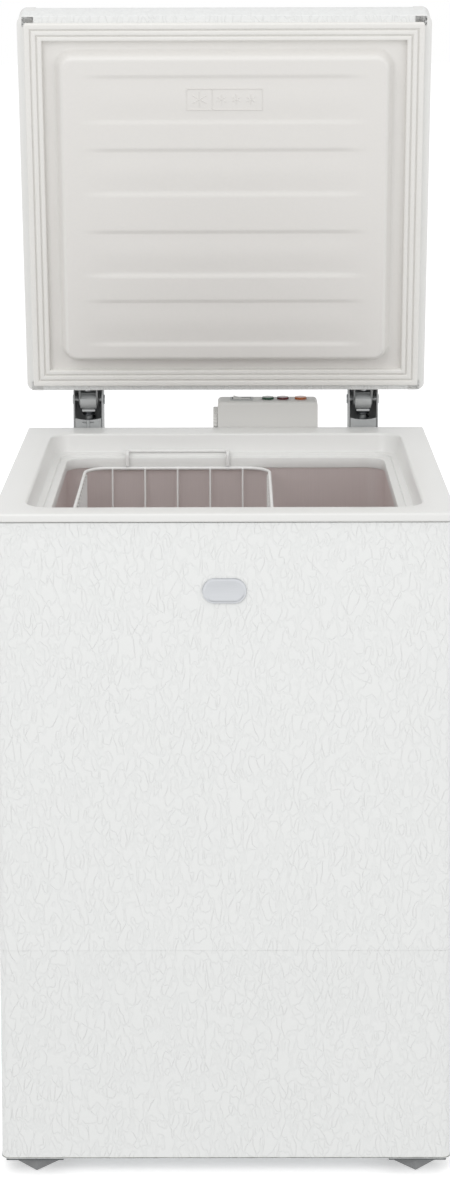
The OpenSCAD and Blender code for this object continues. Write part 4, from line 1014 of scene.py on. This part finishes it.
@dataclass
class Lid:
    """Lid skin, end caps, inner panel and seal, drawn closed and shown open."""

    corner: float = 0.011
    fold: float = 0.006
    sheet: float = 0.0007
    hem: float = 0.014
    hem_fold: float = 0.001
    skin_inset: float = 0.0004
    cap_width: float = 0.0095
    cap_overlap: float = 0.003
    cap_wrap: float = 0.022
    cap_foot: float = 0.0115
    cap_round: float = 0.0035
    cap_sheet: float = 0.0016
    seal_corner: float = 0.003
    seal_ridges: tuple[tuple[float, float], ...] = ((0.0, 0.0075), (0.0091, 0.0155), (0.0171, 0.023))
    seal_groove: float = 0.0024
    seal_lip: float = 0.0016
    pillow: Plan = Plan(-0.224, 0.224, -0.243, 0.1955, 0.024, 0.024)
    pillow_draft: float = 0.009
    pillow_ease: float = 0.35
    panel_step: float = 0.0026
    panel_margin: float = 0.0165
    band_half: float = 0.199
    band_middles: tuple[float, ...] = (-0.1785, -0.07875, 0.03575, 0.1345)
    band_height: float = 0.0615
    band_depth: float = 0.0016
    band_fade: float = 0.05
    band_edge: float = 0.0015
    band_belly: float = 0.55
    rating_middle: tuple[float, float] = (0.0, -0.17875)
    rating_size: tuple[float, float] = (0.100, 0.029)
    rating_corner: float = 0.0012
    rating_rib: float = 0.0006
    rating_cell: float = 0.034
    star_reaches: tuple[float, float] = (0.0105, 0.0068)
    star_first: float = 0.046
    star_pitch: float = 0.0195
    low: Vector = field(default_factory=Vector)
    high: Vector = field(default_factory=Vector)
    opened: Matrix = field(default_factory=Matrix)

    def __post_init__(self) -> None:
        """Finds the hinge line and the closed lid's box."""
        pin = Matrix.Translation(Vector(lid_joint()["pos_m"]))
        swing = math.radians(lid_joint()["range_deg"][1])
        self.opened = pin @ Matrix.Rotation(-swing, 4, "X") @ pin.inverted()
        boxes = [self.closed_box(node) for node in ("lid_skin", "lid_caps")]
        self.low = Vector(tuple(min(a[k] for a, _ in boxes) for k in range(3)))
        self.high = Vector(tuple(max(b[k] for _, b in boxes) for k in range(3)))

    def closed_box(self, node: str) -> tuple[Vector, Vector]:
        """Lowest and highest corner of a CAD node in the lid's closed coordinates.

        Args:
            node: name of the CAD node.

        Returns:
            The two corners.
        """
        back = self.opened.inverted()
        points = [back @ v.co for v in frame["nodes"][node].data.vertices]
        return (Vector(tuple(min(p[k] for p in points) for k in range(3))),
                Vector(tuple(max(p[k] for p in points) for k in range(3))))

    def show(self, piece: bpy.types.Object, finish: Finish, *stands_for: str) -> None:
        """Turns a piece drawn closed to the open position and dresses it.

        Args:
            piece: the piece.
            finish: its material.
            stands_for: CAD nodes it is shown in place of.
        """
        piece.matrix_world = self.opened
        dress(piece, finish, "lid", *stands_for)

    def skin(self) -> None:
        """Folded steel skin between the end caps."""
        s = self.skin_inset
        y0, y1, z0, z1 = self.low.y + s, self.high.y - s, self.low.z, self.high.z - s
        rings: list[list[Vector]] = []
        for inset in (0.0, self.sheet):
            low, top = z0 + inset, z1 - inset
            corners = [(0, y0 + self.hem, low), (0, y0 + inset, low), (0, y0 + inset, top),
                       (0, y1 - inset, top), (0, y1 - inset, low), (0, y1 - self.hem, low)]
            line = rounded(corners[:3], self.hem_fold, 3)[:-1]
            line += rounded(corners[1:4], self.fold - inset)[1:-1]
            line += rounded(corners[2:5], self.fold - inset)[1:-1]
            line += rounded(corners[3:], self.hem_fold, 3)[1:]
            rings.append(line)
        outline = rings[0] + rings[1][::-1]
        tuck = self.cap_width - self.cap_overlap
        ends = [[Vector((x, p.y, p.z)) for p in outline] for x in (self.low.x + tuck, self.high.x - tuck)]
        self.show(loft("lid_sheet", ends), LID_STEEL, "lid_skin")

    def end_cap(self, side: int) -> bpy.types.Object:
        """Moulded strip along one end that wraps round both corners.

        Args:
            side: 1 for the right end, -1 for the left.

        Returns:
            The cap.
        """
        z0, z1 = self.low.z, self.high.z
        foot, width, sheet, fold = self.cap_foot, self.cap_width, self.cap_sheet, self.hem_fold
        nick, inner = self.skin_inset, self.cap_round + self.hem_fold
        profile = [(foot, z0), (fold, z0)] + [(fold - d, z0 + fold - r) for r, d in quarter(fold, 3)]
        profile += [(d, z1 - r) for d, r in quarter(self.cap_round, 5)]
        profile += [(width - nick, z1), (width, z1 - nick), (width, z1 - sheet), (inner, z1 - sheet),
                    (sheet, z1 - inner), (sheet, z0 + sheet), (foot, z0 + sheet)]
        end = self.high.x if side > 0 else self.low.x
        tip = end - side * self.cap_wrap
        rings: list[list[Vector]] = []
        for inset, height in profile:
            x, front, back = end - side * inset, self.low.y + inset, self.high.y - inset
            corners = [(tip, front, height), (x, front, height), (x, back, height), (tip, back, height)]
            rings.append(rounded(corners, max(self.corner - inset, SMALL), 10))
        return loft("lid_cap_right" if side > 0 else "lid_cap_left", rings, ring_closed=False, loop=True)

    def panel_height(self, x: float, y: float, flange: float, depth: float) -> float:
        """Height of the inner panel at a point.

        Args:
            x: place across the lid.
            y: place from front to back.
            flange: height of the flat round the pillow.
            depth: how far the pillow stands down from it.

        Returns:
            The height in the lid's closed coordinates.
        """
        inside = self.pillow.depth_inside(x, y)
        straight = min(max(inside / self.pillow_draft, 0.0), 1.0)
        curved = ease(inside, 0.0, self.pillow_draft)
        sink = depth * (straight + self.pillow_ease * (curved - straight))
        fade = ease(self.band_half - abs(x), 0.0, self.band_fade)
        half, edge = self.band_height / 2, self.band_edge
        band = max(ease(half - abs(y - middle), -edge, edge) for middle in self.band_middles)
        hollow = max(1 - ease(abs(y - middle), 0.0, half) for middle in self.band_middles)
        return flange - sink + self.band_depth * band * fade * (1 - self.band_belly * hollow)

    def panel(self) -> None:
        """Vacuum-formed inner panel with its pillow and four shallow bands."""
        flange = self.closed_box("lid_gasket")[1].z
        floor = self.closed_box("lid_liner")[0].z
        margin = self.panel_margin
        x0, x1 = self.low.x + margin, self.high.x - margin
        y0, y1 = self.low.y + margin, self.high.y - margin
        columns = round((x1 - x0) / self.panel_step)
        rows = round((y1 - y0) / self.panel_step)
        xs = [x0 + (x1 - x0) * k / columns for k in range(columns + 1)]
        ys = [y0 + (y1 - y0) * k / rows for k in range(rows + 1)]
        points = [Vector((x, y, self.panel_height(x, y, flange, flange - floor))) for y in ys for x in xs]
        faces = [(a, d, c, b) for a, b, c, d in grid_faces(columns, rows)]
        self.show(add_mesh("lid_panel", points, faces, 180), FORMED_PS, "lid_liner")

    def rating_sign(self) -> None:
        """Raised frame with one large and three small six-pointed stars, the usual plain cold rating."""
        face = self.closed_box("lid_liner")[0].z + self.band_depth * (1 - self.band_belly)
        centre = Vector((*self.rating_middle, face))
        half_x, half_y = self.rating_size[0] / 2, self.rating_size[1] / 2
        divider = self.rating_cell - half_x
        frame_line = rounded([centre + Vector((x * half_x, y * half_y, 0.0))
                              for x, y in ((-1, -1), (1, -1), (1, 1), (-1, 1))], self.rating_corner, 4, True)
        divider_line = [centre + Vector((divider, y * half_y, 0.0)) for y in (-1, 1)]
        paths = [(frame_line, self.rating_rib, True), (divider_line, self.rating_rib, False)]
        large, small = self.star_reaches
        stars = [(self.rating_cell / 2, large)]
        stars += [(self.star_first + self.star_pitch * k, small) for k in range(3)]
        for x, reach in stars:
            for turn in range(3):
                angle = math.radians(90 + 60 * turn)
                arm = reach * Vector((math.cos(angle), math.sin(angle), 0.0))
                middle = centre + Vector((x - half_x, 0.0, 0.0))
                paths.append(([middle - arm, middle + arm], self.rating_rib, False))
        self.show(wires("rating_sign", paths, 8), FORMED_PS)

    def seal(self) -> None:
        """Magnetic seal with three rounded lips between two grooves."""
        low, high = self.closed_box("lid_gasket")
        outline = Plan(low.x, high.x, low.y, high.y, self.seal_corner, self.seal_corner, 6)
        root = low.z + self.seal_groove
        profile: list[tuple[float, float]] = []
        for start, end in self.seal_ridges:
            lip = quarter(self.seal_lip)
            profile.append((start, root))
            profile += [(start + d, low.z + r) for d, r in lip]
            profile += [(end - d, low.z + r) for d, r in reversed(lip)]
            profile.append((end, root))
        profile[0] = (0.0, high.z)
        profile[-1] = (self.seal_ridges[-1][1], high.z)
        rings = [outline.inset(inset).ring(height) for inset, height in profile]
        self.show(loft("lid_seal", rings, loop=True, sharp=50), SEAL_PVC, "lid_gasket")

    def build(self) -> None:
        """Makes and dresses the whole sub-assembly."""
        self.skin()
        self.show(self.end_cap(1), WHITE_PS, "lid_caps")
        self.show(self.end_cap(-1), WHITE_PS, "lid_caps")
        self.panel()
        self.rating_sign()
        self.seal()
        recoat(POURED_FOAM, "lid_foam")
        soften(ZINC, "lid", 0.0003, "arm_screws")


# ---- Basket ----


@dataclass
class Basket:
    """Hanging wire basket with a bail at each end."""

    rim_wire: float = 0.00225
    rail_wire: float = 0.0015
    wire: float = 0.00125
    bail_wire: float = 0.0025
    corner: float = 0.030
    bend: float = 0.012
    rail_drops: tuple[float, ...] = (0.065, 0.140)
    front_count: int = 5
    front_pitch: float = 0.044
    side_count: int = 15
    side_pitch: float = 0.022
    side_lift: float = 0.002
    overlap: float = 0.0007
    bail_bend: float = 0.0045
    eye_reach: float = 0.0036
    eye_rise: float = 0.0035
    eye_radius: float = 0.0028
    eye_width: float = 0.0042
    eye_wire: float = 0.00045
    eye_turns: int = 2

    def cage(self) -> None:
        """Rim, two rails and the wires that run down, across and up again."""
        low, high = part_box("basket_wires")
        rim = self.rim_wire
        middle = (low + high) / 2
        half_x, half_y = (high.x - low.x) / 2 - rim, (high.y - low.y) / 2 - rim
        top = high.z - rim
        floor = low.z + self.wire
        rails = [(0.0, rim, 0.0)] + [(d, self.rail_wire, self.overlap) for d in self.rail_drops]
        paths: list[tuple[list[Vector], float, bool]] = []
        for drop, radius, inset in rails:
            x, y = half_x - inset, half_y - inset
            plan = Plan(middle.x - x, middle.x + x, middle.y - y, middle.y + y, self.corner, self.corner)
            paths.append((plan.ring(top - drop), radius, True))
        wall = rim + self.wire - self.overlap
        for number in range(self.front_count):
            x = middle.x + (number - (self.front_count - 1) / 2) * self.front_pitch
            y0, y1 = middle.y - half_y + wall, middle.y + half_y - wall
            line = rounded([(x, y0, top), (x, y0, floor), (x, y1, floor), (x, y1, top)], self.bend)
            paths.append((line, self.wire, False))
        lifted = floor + self.side_lift
        for number in range(self.side_count):
            y = middle.y + (number - (self.side_count - 1) / 2) * self.side_pitch
            x0, x1 = middle.x - half_x + wall, middle.x + half_x - wall
            line = rounded([(x0, y, top), (x0, y, lifted), (x1, y, lifted), (x1, y, top)], self.bend)
            paths.append((line, self.wire, False))
        dress(wires("wire_cage", paths), DIPPED_WIRE, "basket", "basket_wires")

    def bail(self, end: str, side: int) -> None:
        """Bent handle with eyes round the rim wire.

        Args:
            end: front or rear.
            side: 1 when it lies outwards to +Y, -1 to -Y.
        """
        node = "basket_handle_" + end
        low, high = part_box(node)
        rim_low, rim_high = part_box("basket_wires")
        y = rim_high.y - self.rim_wire if side > 0 else rim_low.y + self.rim_wire
        z = rim_high.z - self.rim_wire
        outer = high.y - self.bail_wire if side > 0 else low.y + self.bail_wire
        bar, foot = high.z - self.bail_wire, z + self.eye_rise
        x0, x1 = low.x + self.eye_reach, high.x - self.eye_reach
        line = [(x0, y, foot), (x0, y, bar), (x0, outer, bar), (x1, outer, bar), (x1, y, bar), (x1, y, foot)]
        paths = [(rounded(line, self.bail_bend, 6), self.bail_wire, False)]
        steps = 14 * self.eye_turns
        for x in (x0, x1):
            coil: list[Vector] = []
            for step in range(steps + 1):
                angle = 2 * math.pi * self.eye_turns * step / steps
                coil.append(Vector((x + self.eye_width * (step / steps - 0.5),
                                    y + self.eye_radius * math.sin(angle),
                                    z + self.eye_radius * math.cos(angle))))
            paths.append((coil, self.eye_wire, False))
        dress(wires("bail_" + end, paths, 12), DIPPED_WIRE, "handle_" + end, node)

    def build(self) -> None:
        """Makes and dresses the whole sub-assembly."""
        self.cage()
        self.bail("front", -1)
        self.bail("rear", 1)


# ---- Studio ----


@dataclass(frozen=True)
class SoftLight:
    """Square soft light: its place, the height on the freezer's axis that it faces, its side and watts."""

    name: str
    place: tuple[float, float, float]
    faces: float
    side: float
    power: float

    def build(self) -> None:
        """Puts the light in the scene."""
        light = bpy.data.lights.new(self.name, "AREA")
        light.shape = "SQUARE"
        light.size = self.side
        light.energy = self.power
        lamp = bpy.data.objects.new(self.name, light)
        lamp.location = Vector(self.place)
        sight = Vector((0.0, 0.0, self.faces)) - Vector(self.place)
        lamp.rotation_euler = sight.to_track_quat("-Z", "Y").to_euler()
        bpy.context.scene.collection.objects.link(lamp)


@dataclass
class Studio:
    """Pale floor, soft white light and the camera."""

    eye: tuple[float, float, float] = (0.0135, -3.0969, 1.4553)
    pitch: float = 0.09928
    yaw: float = 0.00408
    roll: float = -0.00293
    lens: float = 74.95
    shift: float = -0.33
    film: float = 36.0
    sky: float = 0.80
    floor_half: float = 30.0
    floor_glow: float = 0.35
    lamps: tuple[SoftLight, ...] = (SoftLight("key", (-1.6, -3.2, 3.4), 0.7, 2.2, 42),
                                    SoftLight("fill", (2.4, -3.0, 1.8), 0.6, 2.4, 17),
                                    SoftLight("top", (0.0, -0.4, 3.6), 0.8, 1.8, 8))

    def floor(self) -> None:
        """Wide pale floor that isn't part of the object."""
        half = self.floor_half
        corners = [Vector((x * half, y * half, 0.0)) for x, y in ((-1, -1), (1, -1), (1, 1), (-1, 1))]
        ground = add_mesh("studio_floor", corners, [(0, 1, 2, 3)])
        # Matt white paper: even, with a weak glow of its own that lifts it to the white of the surround.
        sheet = Finish("matt_white_paper", "floor", "FAFAFA", "F6F6F6", 0.9, texture=Texture.FLOW,
                       depth=0.00001).material()
        shader = next(n for n in sheet.node_tree.nodes if n.type == "BSDF_PRINCIPLED")
        shader.inputs["Emission Color"].default_value = (1.0, 1.0, 1.0, 1.0)
        shader.inputs["Emission Strength"].default_value = self.floor_glow
        ground.data.materials.append(sheet)
        ground.visible_diffuse = False

    def sky_dome(self) -> None:
        """Even white surround that looks whiter than the light it gives."""
        world = bpy.data.worlds.new("white_surround")
        world.use_nodes = True
        tree = world.node_tree
        tree.nodes.clear()
        white = (1.0, 1.0, 1.0, 1.0)
        glow = add_node(tree, "ShaderNodeBackground", {"Color": white, "Strength": self.sky})
        seen = add_node(tree, "ShaderNodeBackground", {"Color": white, "Strength": 1.0})
        ray = add_node(tree, "ShaderNodeLightPath")
        pick = add_node(tree, "ShaderNodeMixShader", {},
                        {0: (ray, "Is Camera Ray"), 1: (glow, "Background"), 2: (seen, "Background")})
        add_node(tree, "ShaderNodeOutputWorld", {}, {"Surface": (pick, 0)})
        bpy.context.scene.world = world

    def camera(self) -> None:
        """Long lens in front of the freezer, a little above its open lid."""
        data = bpy.data.cameras.new("camera")
        data.lens = self.lens
        data.sensor_width = self.film
        data.shift_y = self.shift
        data.clip_end = 200.0
        camera = bpy.data.objects.new("camera", data)
        turned = Matrix.Rotation(self.yaw, 4, "Z") @ Matrix.Rotation(math.pi / 2 - self.pitch, 4, "X")
        camera.matrix_world = (Matrix.Translation(Vector(self.eye)) @ turned
                               @ Matrix.Rotation(self.roll, 4, "Z"))
        bpy.context.scene.collection.objects.link(camera)
        bpy.context.scene.camera = camera

    def build(self) -> None:
        """Sets up the whole studio."""
        self.camera()
        self.floor()
        self.sky_dome()
        for lamp in self.lamps:
            lamp.build()
        scene = bpy.context.scene
        scene.view_settings.view_transform = "Standard"
        scene.view_settings.look = "None"


def main() -> None:
    """Builds every sub-assembly."""
    logging.basicConfig(level=logging.INFO, format="%(name)s %(message)s")
    Studio().build()
    Cabinet().build()
    CoolingUnit().build()
    Controls().build()
    for side in ("left", "right"):
        Hinge(side).build()
    soften(ZINC, "cabinet", 0.0003, "hinge_pins", "hinge_screws")
    Lid().build()
    Basket().build()


if __name__ == "__main__":
    main()
